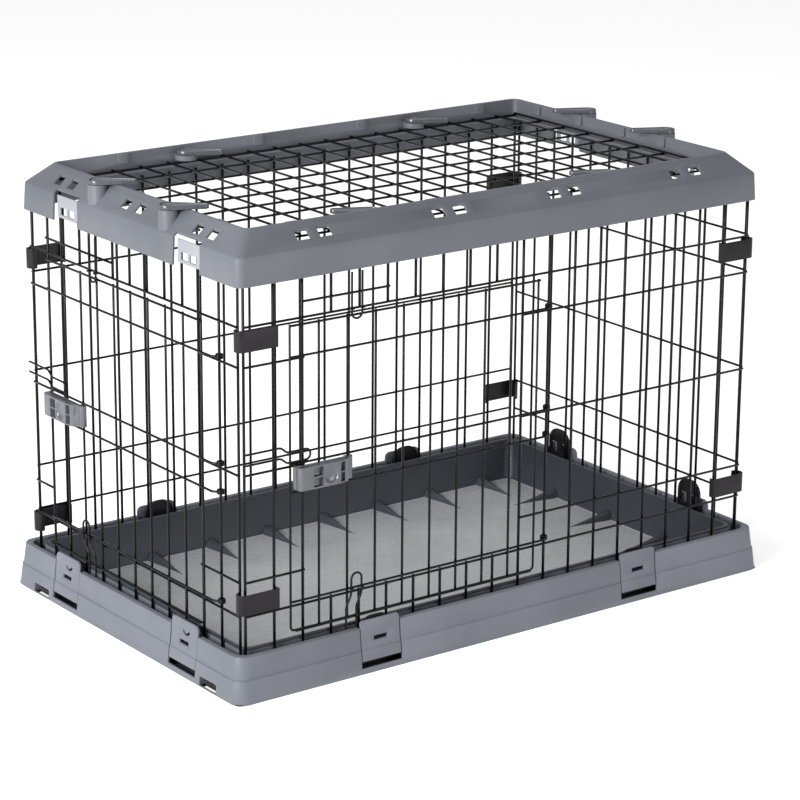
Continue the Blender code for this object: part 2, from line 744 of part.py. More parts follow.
def roof_tabs(side, kind, inner):
    half = TAB_WIDTH / 2
    depth = (inner - 0.001, inner + 0.0035)
    height = (TOP_LIP - 0.015, TOP_LIP - 0.0025)
    spans = [((x - half, x + half), depth, height) for x in TAB_X[kind]]
    return wall_boxes(side, spans)


def slope_windows(side, kind):
    width = WINDOW_WIDTH_LONG if kind == "long" else WINDOW_WIDTH_SHORT
    spans = []
    for middle in WINDOW_X[kind]:
        for sign in (-1, 1):
            centre = middle + sign * WINDOW_PITCH / 2
            spans.append(((centre - width / 2, centre + width / 2), (0.028, 0.041), (0.585, 0.630)))
    return wall_boxes(side, spans)


def build_clip_plates(finish):
    """Pale clip plates in the end skirts' notches, each with two windows and a T-shaped tongue."""
    for side in ("left", "right"):
        for label, sign in (("left", -1), ("right", 1)):
            middle = sign * LATCH_X[side]
            skirt_in = SKIRT_INSET + SKIRT_DRAFT
            low, high = SKIRT_BOTTOM + 0.006, SKIRT_TOP - 0.0006
            start = middle - NOTCH_WIDTH / 2 + CLIP_PLATE_GAP
            end = middle + NOTCH_WIDTH / 2 - CLIP_PLATE_GAP
            if side == "left":
                start += CLIP_PLATE_SHORT
            else:
                end -= CLIP_PLATE_SHORT
            bm = boxes(((start, skirt_in - 0.0004, low), (end, skirt_in + 0.0018, high)))
            plate = add_object(f"skirt_clip_{side}_{label}", bm, finish)
            width = (end - start) / 5
            holes = []
            for k in (1, 3):
                near = (start + (k - 0.1) * width, 0.010, low - 0.003)
                holes.append((near, (start + (k + 0.9) * width, 0.030, low + 0.013)))
            cut(plate, boxes(*holes), "windows")
            seat(plate, side, 0, 0, 0)


def build_roof(finish):
    places_x = [(k - ROOF_GAPS_X / 2) * ROOF_PITCH_X for k in range(ROOF_GAPS_X + 1)]
    places_y = [(k - ROOF_GAPS_Y / 2) * ROOF_PITCH_Y for k in range(ROOF_GAPS_Y + 1)]
    inner = SKIRT_INSET + SKIRT_DRAFT + SLOPE_WIDTH + LIP_WIDTH
    reach_x = HALF_X - inner - 0.0045
    reach_y = HALF_Y - inner - 0.0045
    low = ROOF_SHELF_Z + 0.0026 + GAP + HALF_WIRE
    across = [rail_y(x, -reach_y, reach_y, low + LAYER) for x in places_x]
    grid = add_object("roof_grid", boxes(*across), finish)
    along = [rail(-reach_x, reach_x, y, low) for y in places_y]
    join(grid, boxes(*along), "long_wires")


def rail_y(x, start, end, z):
    return ((x - HALF_WIRE, start, z - HALF_WIRE), (x + HALF_WIRE, end, z + HALF_WIRE))


def lever_outline(heading):
    """The hull of a round hub and a smaller round tip, heading in degrees from the hub."""
    spread = math.degrees(math.acos((LEVER_HUB - LEVER_TIP) / LEVER_LENGTH))
    tip = (LEVER_LENGTH * math.cos(math.radians(heading)), LEVER_LENGTH * math.sin(math.radians(heading)))
    hub_arc = arc((0, 0), LEVER_HUB, heading + spread, heading + 360 - spread, 10)
    return hub_arc + arc(tip, LEVER_TIP, heading - spread, heading + spread, 5)


def build_levers(finish):
    for side in SIDES:
        kind = "long" if side in ("front", "back") else "short"
        heading = 145.9 if kind == "long" else 55.9
        inset, top = hub_place(kind)
        for label, sign in (("left", -1), ("right", 1)):
            bm = prism(lever_outline(heading), GAP, LEVER_THICK)
            lever = add_object(f"lever_{side}_{label}", bm, finish)
            join(lever, prism(disc((0, 0), LEVER_SHAFT, 8), -0.0060, 0.001), "shaft")
            seat(lever, side, sign * LEVER_X[side], inset, top)


def main():
    clear_scene()
    grey = material("grey_plastic", (0.13, 0.145, 0.17), 0.5)
    tray_grey = material("tray_plastic", (0.20, 0.215, 0.23), 0.4)
    pale = material("pale_plastic", (0.42, 0.44, 0.47), 0.5)
    black = material("black_plastic", (0.02, 0.019, 0.02), 0.45)
    wire = material("black_wire", (0.012, 0.012, 0.013), 0.3)
    steel = material("steel", (0.5, 0.5, 0.5), 0.35, 1.0)

    build_base(grey)
    build_tray(tray_grey)
    build_rollers(black, steel)
    build_base_latches(grey, black)

    build_doorway_wall("side_wall", "front", LONG_PITCH, LONG_GAPS, (2, 10), (2, 5), wire)
    build_closed_wall("back_wall", "back", LONG_PITCH, LONG_GAPS, (SILL_Z, *BACK_RAIL_Z), wire)
    build_doorway_wall("end_wall", "left", SHORT_PITCH, SHORT_GAPS, (1, 10), (1, 5), wire)
    build_closed_wall("far_end_wall", "right", SHORT_PITCH, SHORT_GAPS, (SILL_Z, *RAIL_Z, HEADER_Z), wire)

    side_hinge = (11 - LONG_GAPS / 2) * LONG_PITCH
    side_pitch = LONG_PITCH
    side_free = build_door("side_door", "front", side_hinge, side_pitch, side_hinge - 0.0235, wire)
    end_hinge = (11 - SHORT_GAPS / 2) * SHORT_PITCH
    end_free = build_door("end_door", "left", end_hinge, SHORT_PITCH, end_hinge - 0.0327, wire)
    build_thumb_latch("side_door_latch", "front", side_hinge, side_pitch, side_free, grey)
    build_thumb_latch("end_door_latch", "left", end_hinge, SHORT_PITCH, end_free, grey)
    build_slide_bolt("side_door_slide_bolt", "front", side_hinge, side_free - 0.071, wire)
    build_slide_bolt("end_door_slide_bolt", "left", end_hinge, end_free - 0.056, wire)
    side_pins = side_hinge + side_free + 0.1015
    build_drop_bolts("side_door", "front", side_pins, side_pins, SIDE_PIN_JOG, wire)
    end_pins = end_hinge + end_free + 0.097
    build_drop_bolts("end_door", "left", end_pins, end_pins + 0.033, END_PIN_JOG, wire)

    build_corner_clips(black)
    build_top_frame(grey)
    build_clip_plates(pale)
    build_roof(wire)
    build_levers(grey)


main()
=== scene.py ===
import math

import bmesh
import bpy
import numpy as np
from mathutils import Matrix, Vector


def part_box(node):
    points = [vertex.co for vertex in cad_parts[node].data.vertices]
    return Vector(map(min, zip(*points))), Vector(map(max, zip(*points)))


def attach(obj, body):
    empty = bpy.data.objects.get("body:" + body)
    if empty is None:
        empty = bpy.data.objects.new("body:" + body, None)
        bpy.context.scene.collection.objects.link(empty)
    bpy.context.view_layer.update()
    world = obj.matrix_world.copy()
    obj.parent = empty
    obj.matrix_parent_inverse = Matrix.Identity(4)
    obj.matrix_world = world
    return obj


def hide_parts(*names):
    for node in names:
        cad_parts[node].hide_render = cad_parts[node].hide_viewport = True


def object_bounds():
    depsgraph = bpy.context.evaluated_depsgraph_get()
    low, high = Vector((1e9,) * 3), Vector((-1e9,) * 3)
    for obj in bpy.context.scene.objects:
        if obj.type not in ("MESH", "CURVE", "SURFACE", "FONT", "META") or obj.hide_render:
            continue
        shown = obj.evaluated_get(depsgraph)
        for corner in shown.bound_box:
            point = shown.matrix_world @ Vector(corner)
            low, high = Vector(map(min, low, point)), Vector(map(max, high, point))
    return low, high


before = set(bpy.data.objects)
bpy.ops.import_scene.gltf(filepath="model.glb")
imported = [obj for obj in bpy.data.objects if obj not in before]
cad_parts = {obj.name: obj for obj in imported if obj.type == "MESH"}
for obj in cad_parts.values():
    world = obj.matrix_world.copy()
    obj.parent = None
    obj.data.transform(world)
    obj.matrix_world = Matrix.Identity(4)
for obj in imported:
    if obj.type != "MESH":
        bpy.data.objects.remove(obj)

# The crate's long side runs along X, the side door faces -Y and the end door faces -X.
# On each wall, "along" runs left to right seen from outside, "inset" is the depth in from
# the crate's outer edge and z is the height.
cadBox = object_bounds()
halfLength = cadBox[1][0]
halfWidth = cadBox[1][1]
wallTurn = {"front": 0.0, "right": 90.0, "back": 180.0, "left": -90.0}
wallReach = {"front": halfWidth, "right": halfLength, "back": halfWidth, "left": halfLength}
solidWire = 0.0015  # the CAD wires' radius, which places read from their boxes allow for


def gridFaces(rows, columns, closeRows=False, closeColumns=True, start=0):
    # one quad for each cell of a grid of rows x columns points
    r = np.arange(rows if closeRows else rows - 1)
    c = np.arange(columns if closeColumns else columns - 1)
    a, b = np.meshgrid(r, c, indexing="ij")
    nextA = (a + 1) % rows
    nextB = (b + 1) % columns
    cells = np.stack((a * columns + b, a * columns + nextB, nextA * columns + nextB, nextA * columns + b), -1)
    return (cells.reshape(-1, 4) + start).tolist()


def lathe(rings, closed=False):
    # a skin over rings of points; an open skin gets a cap on its first and last ring
    rings = np.asarray(rings, float)
    rows, columns = rings.shape[:2]
    faces = gridFaces(rows, columns, closeRows=closed)
    if not closed:
        faces.append(list(range(columns))[::-1])
        faces.append([(rows - 1) * columns + k for k in range(columns)])
    return rings.reshape(-1, 3), faces


def makePiece(name, parts, finish, body, smoothBelow=35.0):
    # joins parts of (points, faces) in one mesh that rides on a body
    points, faces, start = [], [], 0
    for partPoints, partFaces in parts:
        points.append(np.asarray(partPoints, float))
        faces.extend([[v + start for v in face] for face in partFaces])
        start += len(partPoints)
    mesh = bpy.data.meshes.new(name)
    mesh.from_pydata(np.concatenate(points).tolist(), [], faces)
    mesh.update()
    piece = bpy.data.objects.new(name, mesh)
    bpy.context.scene.collection.objects.link(piece)
    turnFacesOut(mesh)
    mesh.materials.append(finish)
    shade(mesh, smoothBelow)
    if body:
        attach(piece, body)
    return piece


def turnFacesOut(mesh):
    work = bmesh.new()
    work.from_mesh(mesh)
    bmesh.ops.recalc_face_normals(work, faces=work.faces)
    work.to_mesh(mesh)
    work.free()


def shade(mesh, smoothBelow):
    mesh.shade_smooth()
    mesh.set_sharp_from_angle(angle=math.radians(smoothBelow))


def arcPoints(centre, radius, startDegrees, endDegrees, steps):
    # centre + radius * (cos a, sin a), a running evenly from start to end
    a = np.radians(np.linspace(startDegrees, endDegrees, steps + 1))
    return np.stack((centre[0] + radius * np.cos(a), centre[1] + radius * np.sin(a)), -1)


def roundedBox(halfX, halfY, radius, steps=8):
    # a rectangle whose corners are quarter circles
    corners = []
    for signX, signY, turn in ((1, 1, 0), (-1, 1, 90), (-1, -1, 180), (1, -1, 270)):
        centre = (signX * (halfX - radius), signY * (halfY - radius))
        corners.append(arcPoints(centre, radius, turn, turn + 90, steps))
    return np.concatenate(corners)


def tube(path, radius, across=(0, 0, 1), sides=10):
    # circles of the radius round each point of the path; the ends are a little rounded.
    # across is a direction at right angles to the whole path.
    path = np.asarray(path, float)
    along = np.gradient(path, axis=0)
    along /= np.linalg.norm(along, axis=1, keepdims=True)
    nib = radius * 0.35
    ends = np.stack((path[0], path[0] + along[0] * nib, path[-1] - along[-1] * nib, path[-1]))
    path = np.concatenate((ends[:2], path[1:-1], ends[2:]))
    along = np.concatenate((along[:1], along[:1], along[1:-1], along[-1:], along[-1:]))
    first = np.broadcast_to(np.asarray(across, float), path.shape)
    second = np.cross(along, first)
    second /= np.linalg.norm(second, axis=1, keepdims=True)
    width = np.full(len(path), radius)
    width[[0, -1]] = radius * 0.68
    a = np.radians(np.arange(sides) * 360.0 / sides)
    spoke = first[:, None] * np.cos(a)[None, :, None] + second[:, None] * np.sin(a)[None, :, None]
    return lathe(path[:, None] + spoke * width[:, None, None])


def hoop(centre, axis, ringRadius, wireRadius, sides=8, steps=18):
    # a closed ring of wire: a circle of circles
    axis = np.asarray(axis, float)
    flat = np.cross(axis, (0.3, 0.5, 0.8))
    flat /= np.linalg.norm(flat)
    other = np.cross(axis, flat)
    a = np.radians(np.arange(steps) * 360.0 / steps)[:, None]
    b = np.radians(np.arange(sides) * 360.0 / sides)[None, :]
    out = np.cos(a)[..., None] * flat + np.sin(a)[..., None] * other
    rings = np.asarray(centre) + out * (ringRadius + wireRadius * np.cos(b))[..., None]
    return lathe(rings + axis * (wireRadius * np.sin(b))[..., None], closed=True)


def onWall(side, points):
    # turns (along, inset, z) on a wall into the crate's own x, y, z
    points = np.asarray(points, float)
    turn = math.radians(wallTurn[side])
    depth = points[..., 1] - wallReach[side]
    x = points[..., 0] * math.cos(turn) - depth * math.sin(turn)
    y = points[..., 0] * math.sin(turn) + depth * math.cos(turn)
    return np.stack((x, y, points[..., 2]), -1)


def partOnWall(side, part):
    return onWall(side, part[0]), part[1]


def allOnWall(side, parts):
    return [partOnWall(side, part) for part in parts]


def slab(outline, low, high, axis="z", edge=0.0006):
    # an outline of (a, b) points carried from low to high, with its end faces' edges broken by edge
    outline = np.asarray(outline, float)
    ends = np.roll(outline, -1, 0) - np.roll(outline, 1, 0)
    after = np.roll(outline, -1, 0)
    turn = np.sign(np.sum(outline[:, 0] * after[:, 1] - after[:, 0] * outline[:, 1]))
    inward = np.stack((-ends[:, 1], ends[:, 0]), -1) * turn
    inward /= np.linalg.norm(inward, axis=1, keepdims=True)
    rings = []
    for level, share in ((low, 1), (low + edge, 0), (high - edge, 0), (high, 1)):
        ring = outline + inward * edge * share
        height = np.full(len(ring), level)
        columns = {"z": (ring[:, 0], ring[:, 1], height), "y": (ring[:, 0], height, ring[:, 1])}
        columns["x"] = (height, ring[:, 0], ring[:, 1])
        rings.append(np.stack(columns[axis], -1))
    return lathe(rings)


def plainBox(low, high):
    # a box between two opposite corners
    (x0, y0, z0), (x1, y1, z1) = low, high
    return lathe([[(x0, y0, z), (x1, y0, z), (x1, y1, z), (x0, y1, z)] for z in (z0, z1)])


# One Boolean on a piece with a helper made of parts, applied at once
def carve(piece, parts, operation="DIFFERENCE"):
    helper = makePiece(piece.name + "_tool", parts, piece.data.materials[0], None)
    step = piece.modifiers.new("carve", "BOOLEAN")
    step.operation = operation
    step.solver = "EXACT"
    step.use_self = True
    step.object = helper
    applyAll(piece)
    bpy.data.objects.remove(helper)


def applyAll(piece):
    graph = bpy.context.evaluated_depsgraph_get()
    made = bpy.data.meshes.new_from_object(piece.evaluated_get(graph), depsgraph=graph)
    piece.modifiers.clear()
    piece.data = made


def softenEdges(piece, width, segments=2, smoothBelow=35.0, corner=25.0):
    step = piece.modifiers.new("edges", "BEVEL")
    step.width = width
    step.segments = segments
    step.limit_method = "ANGLE"
    step.angle_limit = math.radians(corner)
    step.use_clamp_overlap = True
    step.miter_outer = "MITER_ARC"
    applyAll(piece)
    shade(piece.data, smoothBelow)


def ringMould(profile, steps=8):
    # a closed profile of (inset, z, corner radius) carried round the crate's outline
    rings = []
    for inset, height, radius in profile:
        outline = roundedBox(halfLength - inset, halfWidth - inset, radius, steps)
        rings.append(np.column_stack((outline, np.full(len(outline), height))))
    return lathe(rings, closed=True)


def newGroup(name, inputs, outputs):
    group = bpy.data.node_groups.new(name, "ShaderNodeTree")
    for label, kind, value in inputs:
        made = group.interface.new_socket(label, in_out="INPUT", socket_type=kind)
        if value is not None:
            made.default_value = value
    for label, kind in outputs:
        group.interface.new_socket(label, in_out="OUTPUT", socket_type=kind)
    return group, group.nodes.new("NodeGroupInput"), group.nodes.new("NodeGroupOutput")


def noiseNode(tree, scale, detail, rough=0.5):
    node = tree.nodes.new("ShaderNodeTexNoise")
    node.inputs["Scale"].default_value = scale
    node.inputs["Detail"].default_value = detail
    node.inputs["Roughness"].default_value = rough
    return node


def rangeNode(tree, low, high, toLow, toHigh):
    node = tree.nodes.new("ShaderNodeMapRange")
    for label, value in (("From Min", low), ("From Max", high), ("To Min", toLow), ("To Max", toHigh)):
        node.inputs[label].default_value = value
    return node


# Moulded skin: fine spark-eroded grain, slow shifts of tone and of gloss
def buildSkinGroup():
    inputs = (("Vector", "NodeSocketVector", None), ("Grain Size", "NodeSocketFloat", 900.0))
    outputs = (("Tone", "NodeSocketFloat"), ("Gloss", "NodeSocketFloat"), ("Height", "NodeSocketFloat"))
    group, source, sink = newGroup("mouldedSkin", inputs, outputs)
    grain = noiseNode(group, 900.0, 2.0, 0.6)
    slow = noiseNode(group, 7.0, 3.0)
    flow = noiseNode(group, 26.0, 4.0, 0.6)
    mixed = group.nodes.new("ShaderNodeMath")
    mixed.operation = "MULTIPLY_ADD"
    mixed.inputs[1].default_value = 0.12
    for node in (grain, slow, flow):
        group.links.new(source.outputs["Vector"], node.inputs["Vector"])
    group.links.new(source.outputs["Grain Size"], grain.inputs["Scale"])
    group.links.new(grain.outputs["Fac"], mixed.inputs[0])
    group.links.new(slow.outputs["Fac"], mixed.inputs[2])
    group.links.new(mixed.outputs[0], sink.inputs["Tone"])
    group.links.new(flow.outputs["Fac"], sink.inputs["Gloss"])
    group.links.new(grain.outputs["Fac"], sink.inputs["Height"])
    return group


# Dipped coating on wire: slight waves in the film and thin, duller places
def buildCoatGroup():
    inputs = (("Vector", "NodeSocketVector", None),)
    outputs = (("Film", "NodeSocketFloat"), ("Height", "NodeSocketFloat"))
    group, source, sink = newGroup("dippedCoat", inputs, outputs)
    film = noiseNode(group, 45.0, 3.0)
    waves = noiseNode(group, 330.0, 2.0)
    for node, label in ((film, "Film"), (waves, "Height")):
        group.links.new(source.outputs["Vector"], node.inputs["Vector"])
        group.links.new(node.outputs["Fac"], sink.inputs[label])
    return group


skinGroup = buildSkinGroup()
coatGroup = buildCoatGroup()


def startMaterial(name, group):
    made = bpy.data.materials.new(name)
    made.use_nodes = True
    tree = made.node_tree
    place = tree.nodes.new("ShaderNodeTexCoord")
    effect = tree.nodes.new("ShaderNodeGroup")
    effect.node_tree = group
    tree.links.new(place.outputs["Object"], effect.inputs["Vector"])
    return made, tree, tree.nodes["Principled BSDF"], effect


def addGloss(tree, shader, value, low, high):
    # the noise's middle part sets the roughness between low and high
    gloss = rangeNode(tree, 0.3, 0.7, low, high)
    tree.links.new(value, gloss.inputs["Value"])
    tree.links.new(gloss.outputs["Result"], shader.inputs["Roughness"])


def addBump(tree, shader, height, strength, distance):
    bump = tree.nodes.new("ShaderNodeBump")
    bump.inputs["Strength"].default_value = strength
    bump.inputs["Distance"].default_value = distance
    tree.links.new(height, bump.inputs["Height"])
    tree.links.new(bump.outputs["Normal"], shader.inputs["Normal"])


def addTone(tree, shader, value, dark, light, low=0.35, high=0.75):
    ramp = tree.nodes.new("ShaderNodeMix")
    ramp.data_type = "RGBA"
    ramp.inputs["A"].default_value = (*dark, 1)
    ramp.inputs["B"].default_value = (*light, 1)
    spread = rangeNode(tree, low, high, 0.0, 1.0)
    tree.links.new(value, spread.inputs["Value"])
    tree.links.new(spread.outputs["Result"], ramp.inputs["Factor"])
    tree.links.new(ramp.outputs["Result"], shader.inputs["Base Color"])


def mouldedPlastic(name, dark, light, rough, grain, bump, shine):
    made, tree, shader, skin = startMaterial(name, skinGroup)
    skin.inputs["Grain Size"].default_value = grain
    shader.inputs["Specular IOR Level"].default_value = shine
    addTone(tree, shader, skin.outputs["Tone"], dark, light)
    addGloss(tree, shader, skin.outputs["Gloss"], rough - 0.05, rough + 0.06)
    addBump(tree, shader, skin.outputs["Height"], bump, 0.0003)
    return made


def coatedWire(name, dark, light, rough):
    made, tree, shader, coat = startMaterial(name, coatGroup)
    shader.inputs["Specular IOR Level"].default_value = 0.16
    shader.inputs["Coat Weight"].default_value = 0.04
    shader.inputs["Coat Roughness"].default_value = 0.12
    addTone(tree, shader, coat.outputs["Film"], dark, light)
    addGloss(tree, shader, coat.outputs["Film"], rough - 0.05, rough + 0.08)
    addBump(tree, shader, coat.outputs["Height"], 0.12, 0.0004)
    return made


plastics = {  # darkest and lightest colour, roughness, grain size, bump strength, shine
    "greyPlastic": ((0.092, 0.099, 0.114), (0.116, 0.124, 0.142), 0.46, 900.0, 0.22, 0.35),
    "basePlastic": ((0.110, 0.119, 0.141), (0.140, 0.150, 0.176), 0.48, 900.0, 0.22, 0.35),
    "leverPlastic": ((0.050, 0.056, 0.066), (0.070, 0.077, 0.088), 0.24, 700.0, 0.08, 0.6),
    # the tray's plastic in two copies: a dark one that paints shade on its walls, rim and ribs, and a light
    # one that paints light and reflection on its floor
    "trayShadedPlastic": ((0.024, 0.029, 0.038), (0.034, 0.040, 0.050), 0.36, 500.0, 0.10, 0.4),
    "trayLitFloorPlastic": ((0.330, 0.338, 0.356), (0.400, 0.410, 0.430), 0.26, 500.0, 0.10, 0.7),
    "latchPlastic": ((0.060, 0.064, 0.076), (0.085, 0.090, 0.104), 0.20, 700.0, 0.08, 0.8),
    "palePlastic": ((0.20, 0.21, 0.235), (0.25, 0.26, 0.29), 0.36, 800.0, 0.10, 0.45),
    "blackPlastic": ((0.006, 0.005, 0.006), (0.012, 0.010, 0.012), 0.34, 800.0, 0.14, 0.22),
}
(greyPlastic, basePlastic, leverPlastic, trayShadedPlastic, trayLitFloorPlastic, latchPlastic, palePlastic,
 blackPlastic) = (mouldedPlastic(name, *values) for name, values in plastics.items())
wireCoat = coatedWire("wireCoat", (0.0010, 0.0010, 0.0013), (0.0035, 0.0035, 0.0042), 0.24)
print("finishes made")


wireWork = {
    "radius": 0.00170,  # shown a little thicker than the CAD wires
    "uprightRadius": 0.00195,
    "longUprights": 20,
    "shortUprights": 13,
    "sill": 0.113,
    "rails": (0.160, 0.306, 0.450),
    "backRails": (0.178, 0.320, 0.464),
    "header": 0.503,
    "stay": 0.524,
    "footEdge": 0.0525,
    "topEdge": 0.5835,
    "sideDoorway": (2, 10, 5),
    "endDoorway": (1, 10, 5),
}


def wallSpan(node, side):
    # half the distance between the end uprights, the two wire layers' insets, and the lowest and highest z
    low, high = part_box(node)
    axis = 0 if side in ("front", "back") else 1
    reach = (high[axis] - low[axis]) / 2 - solidWire
    near = {"front": low[1], "left": low[0], "back": -high[1], "right": -high[0]}[side]
    far = {"front": high[1], "left": high[0], "back": -low[1], "right": -low[0]}[side]
    outer = near + wallReach[side] + solidWire
    inner = far + wallReach[side] - solidWire
    return reach, outer, inner, low[2], high[2]


def straight(start, end):
    return np.linspace(start, end, 2)


def upWire(along, inset, low, high, radius):
    return tube(straight((along, inset, low), (along, inset, high)), radius, (1, 0, 0))


def levelWire(start, end, inset, z):
    return tube(straight((start, inset, z), (end, inset, z)), wireWork["radius"], (0, 0, 1))


def buildWall(node, side, uprights, doorway=None):
    # evenly spaced uprights with level wires on their outer side, both left out across a doorway
    reach, outer, inner, foot, top = wallSpan(node, side)
    places = np.linspace(-reach, reach, uprights)
    lip = solidWire
    parts = []
    rails = wireWork["backRails"] if side == "back" else wireWork["rails"]
    levels = (wireWork["footEdge"], wireWork["sill"])
    if side != "back":
        levels += (wireWork["header"],)
    for k, x in enumerate(places):
        if doorway and doorway[0] < k < doorway[1]:
            parts.append(upWire(x, inner, foot, wireWork["sill"] + lip, wireWork["uprightRadius"]))
            parts.append(upWire(x, inner, wireWork["header"] - lip, top, wireWork["uprightRadius"]))
        else:
            parts.append(upWire(x, inner, foot, top, wireWork["uprightRadius"]))
    for z in levels:
        parts.append(levelWire(-reach - lip, reach + lip, outer, z))
    for z in rails:
        if doorway:
            parts.append(levelWire(-reach - lip, places[doorway[0]] + lip, outer, z))
            parts.append(levelWire(places[doorway[1]] - lip, reach + lip, outer, z))
        else:
            parts.append(levelWire(-reach - lip, reach + lip, outer, z))
    if doorway:
        parts.append(levelWire(places[doorway[0]] - lip, places[doorway[2]] + lip, outer, wireWork["stay"]))
    wall = makePiece(node + "_wires", allOnWall(side, parts), wireCoat, "frame", 60)
    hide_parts(node)
    return places


sidePlaces = buildWall("side_wall", "front", wireWork["longUprights"], wireWork["sideDoorway"])
buildWall("back_wall", "back", wireWork["longUprights"])
endPlaces = buildWall("end_wall", "left", wireWork["shortUprights"], wireWork["endDoorway"])
buildWall("far_end_wall", "right", wireWork["shortUprights"])
print("wire walls made")


doorWork = {
    "uprights": 10,
    "bottom": 0.080,
    "top": 0.496,
    "eyes": (0.121, 0.272, 0.3105, 0.4545),
    "layer": 0.0027,
    "standOff": 0.0061,
    "corner": 0.006,
    "eyeRing": 0.0039,
}


def freeEdge(node, side):
    # the middle of the door's free edge wire, along the wall
    low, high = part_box(node)
    return low[0] + solidWire if side == "front" else solidWire - high[1]


def eyeWire(free, hinge, inset, z):
    # a level wire that runs past the last upright, bends in and wraps round the hinge wire
    depth = doorWork["standOff"] + doorWork["layer"]
    ring = doorWork["eyeRing"]
    bend = 0.0085
    s = np.linspace(0, 1, 7)[1:]
    easing = s * s * (3 - 2 * s)
    run = np.array([(free - 0.0015, -depth), (free + 0.05, -depth), (hinge - bend - 0.001, -depth)])
    dip = np.stack((hinge - bend + bend * s, -depth + (depth - ring) * easing), -1)
    loop = arcPoints((hinge, 0.0), ring, -90, 205, 16)[1:]
    flat = np.concatenate((run, dip, loop))
    path = np.column_stack((flat[:, 0], inset + flat[:, 1], np.full(len(flat), z)))
    return tube(path, wireWork["radius"] * 0.97, (0, 0, 1))


def buildDoor(node, side, hinge, hingeInset, body, lowerPins, upperPins):
    # a wire bent round three sides, uprights at the wall's own pitch, and eye wires that wrap round the hinge
    free = freeEdge(node, side)
    pitch = np.diff(sidePlaces if side == "front" else endPlaces).mean()
    places = free + np.arange(doorWork["uprights"]) * pitch
    inset = hingeInset - doorWork["standOff"]
    face = inset - doorWork["layer"]
    low, high = doorWork["bottom"], doorWork["top"]
    corner = doorWork["corner"]
    left = arcPoints((places[0] + corner, low + corner), corner, 180, 270, 6)
    right = arcPoints((places[-1] - corner, low + corner), corner, 270, 360, 6)
    outline = np.concatenate(([(places[0], high + 0.0015)], left, right, [(places[-1], high + 0.0015)]))
    rim = np.column_stack((outline[:, 0], np.full(len(outline), inset), outline[:, 1]))
    parts = [tube(rim, wireWork["radius"] * 0.95, (0, 1, 0))]
    for x in places[1:-1]:
        parts.append(upWire(x, inset, low - 0.0012, high + 0.0015, wireWork["radius"]))
    parts.append(levelWire(places[0] - 0.0015, places[-1] + 0.0015, face, high))
    parts.append(levelWire(places[0] + corner, places[-1] - corner, face, low))
    for z in doorWork["eyes"]:
        parts.append(eyeWire(free, hinge, hingeInset, z))
        for lift in (-0.0021, 0.0021):
            parts.append(hoop((hinge, hingeInset, z + lift), (0, 0, 1), doorWork["eyeRing"], 0.0014))
    parts += guideStaples(lowerPins, upperPins, face)
    door = makePiece(node + "_wires", allOnWall(side, parts), wireCoat, body, 60)
    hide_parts(node)
    return places, inset, face


def guideStaples(lowerPins, upperPins, face):
    # small rings of wire on the door's level wires, which the hairpin bolts slide in
    pins = hairpins
    depth = face - 0.0015 - 0.0005 - 0.0015
    ring = 0.0030
    thick = 0.0011
    rings = []
    for sign in (-1, 1):
        x = lowerPins + sign * pins["bend"]
        rings.append(hoop((x, depth, doorWork["eyes"][0] + 0.0008), (0, 0, 1), ring, thick))
        x = upperPins + sign * pins["bend"]
        rings.append(hoop((x, depth, doorWork["top"] + 0.0095), (0, 0, 1), ring, thick))
    return rings


hairpins = {
    "radius": 0.0015,
    "bend": 0.0083,
    "lowerTip": 0.0665,
    "lowerBend": 0.134,
    "upperTip": 0.5545,
    "upperBend": 0.500,
    "sideJog": -0.0085,
    "endJog": 0.0150,
    "slideLength": 0.1005,
    "slideBend": 0.00725,
    "slideJog": 0.008,
}


def easeBetween(value, start, end):
    s = np.clip((value - start) / (end - start), 0, 1)
    return s * s * (3 - 2 * s)


def boltTube(side, path):
    # a bolt's path is flat, so its tube lies across the wall's own depth
    across = onWall(side, (0, 1, 0)) - onWall(side, (0, 0, 0))
    return tube(onWall(side, path), hairpins["radius"], across)


def buildHairpin(node, side, middle, depth, jog, tipZ, bendZ, body):
    # two legs joined by a half circle; the legs ease sideways by jog on the way to their tips
    half = hairpins["bend"]
    turn = 1 if bendZ > tipZ else -1
    legZ = np.linspace(tipZ, bendZ, 22)
    shift = jog * (1 - easeBetween(np.abs(legZ - tipZ), 0.026, 0.050))
    rightLeg = np.stack((half + shift, legZ), -1)
    bow = arcPoints((0.0, 0.0), half, 0, 180, 14)[1:-1]
    bow = np.stack((bow[:, 0], bendZ + turn * bow[:, 1]), -1)
    leftLeg = np.stack((shift - half, legZ), -1)[::-1]
    flat = np.concatenate((rightLeg, bow, leftLeg))
    path = np.column_stack((flat[:, 0] + middle, np.full(len(flat), depth), flat[:, 1]))
    pin = makePiece(node + "_wire", [boltTube(side, path)], wireCoat, body, 60)
    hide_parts(node)


def buildSlideBolt(node, side, tip, depth, lowLeg, body):
    # two legs that drop by the jog behind the door's edge, closed by a half circle
    length, half, jog = hairpins["slideLength"], hairpins["slideBend"], hairpins["slideJog"]
    runX = np.linspace(0, length - half, 30)
    drop = jog * (1 - easeBetween(runX, 0.052, 0.066))
    top = np.stack((runX, drop + half), -1)
    bow = arcPoints((length - half, 0.0), half, 90, -90, 14)[1:-1]
    bottom = np.stack((runX, drop - half), -1)[::-1]
    flat = np.concatenate((top, bow, bottom))
    path = np.column_stack((flat[:, 0] + tip, np.full(len(flat), depth), flat[:, 1] + lowLeg + half))
    bolt = makePiece(node + "_wire", [boltTube(side, path)], wireCoat, body, 60)
    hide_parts(node)


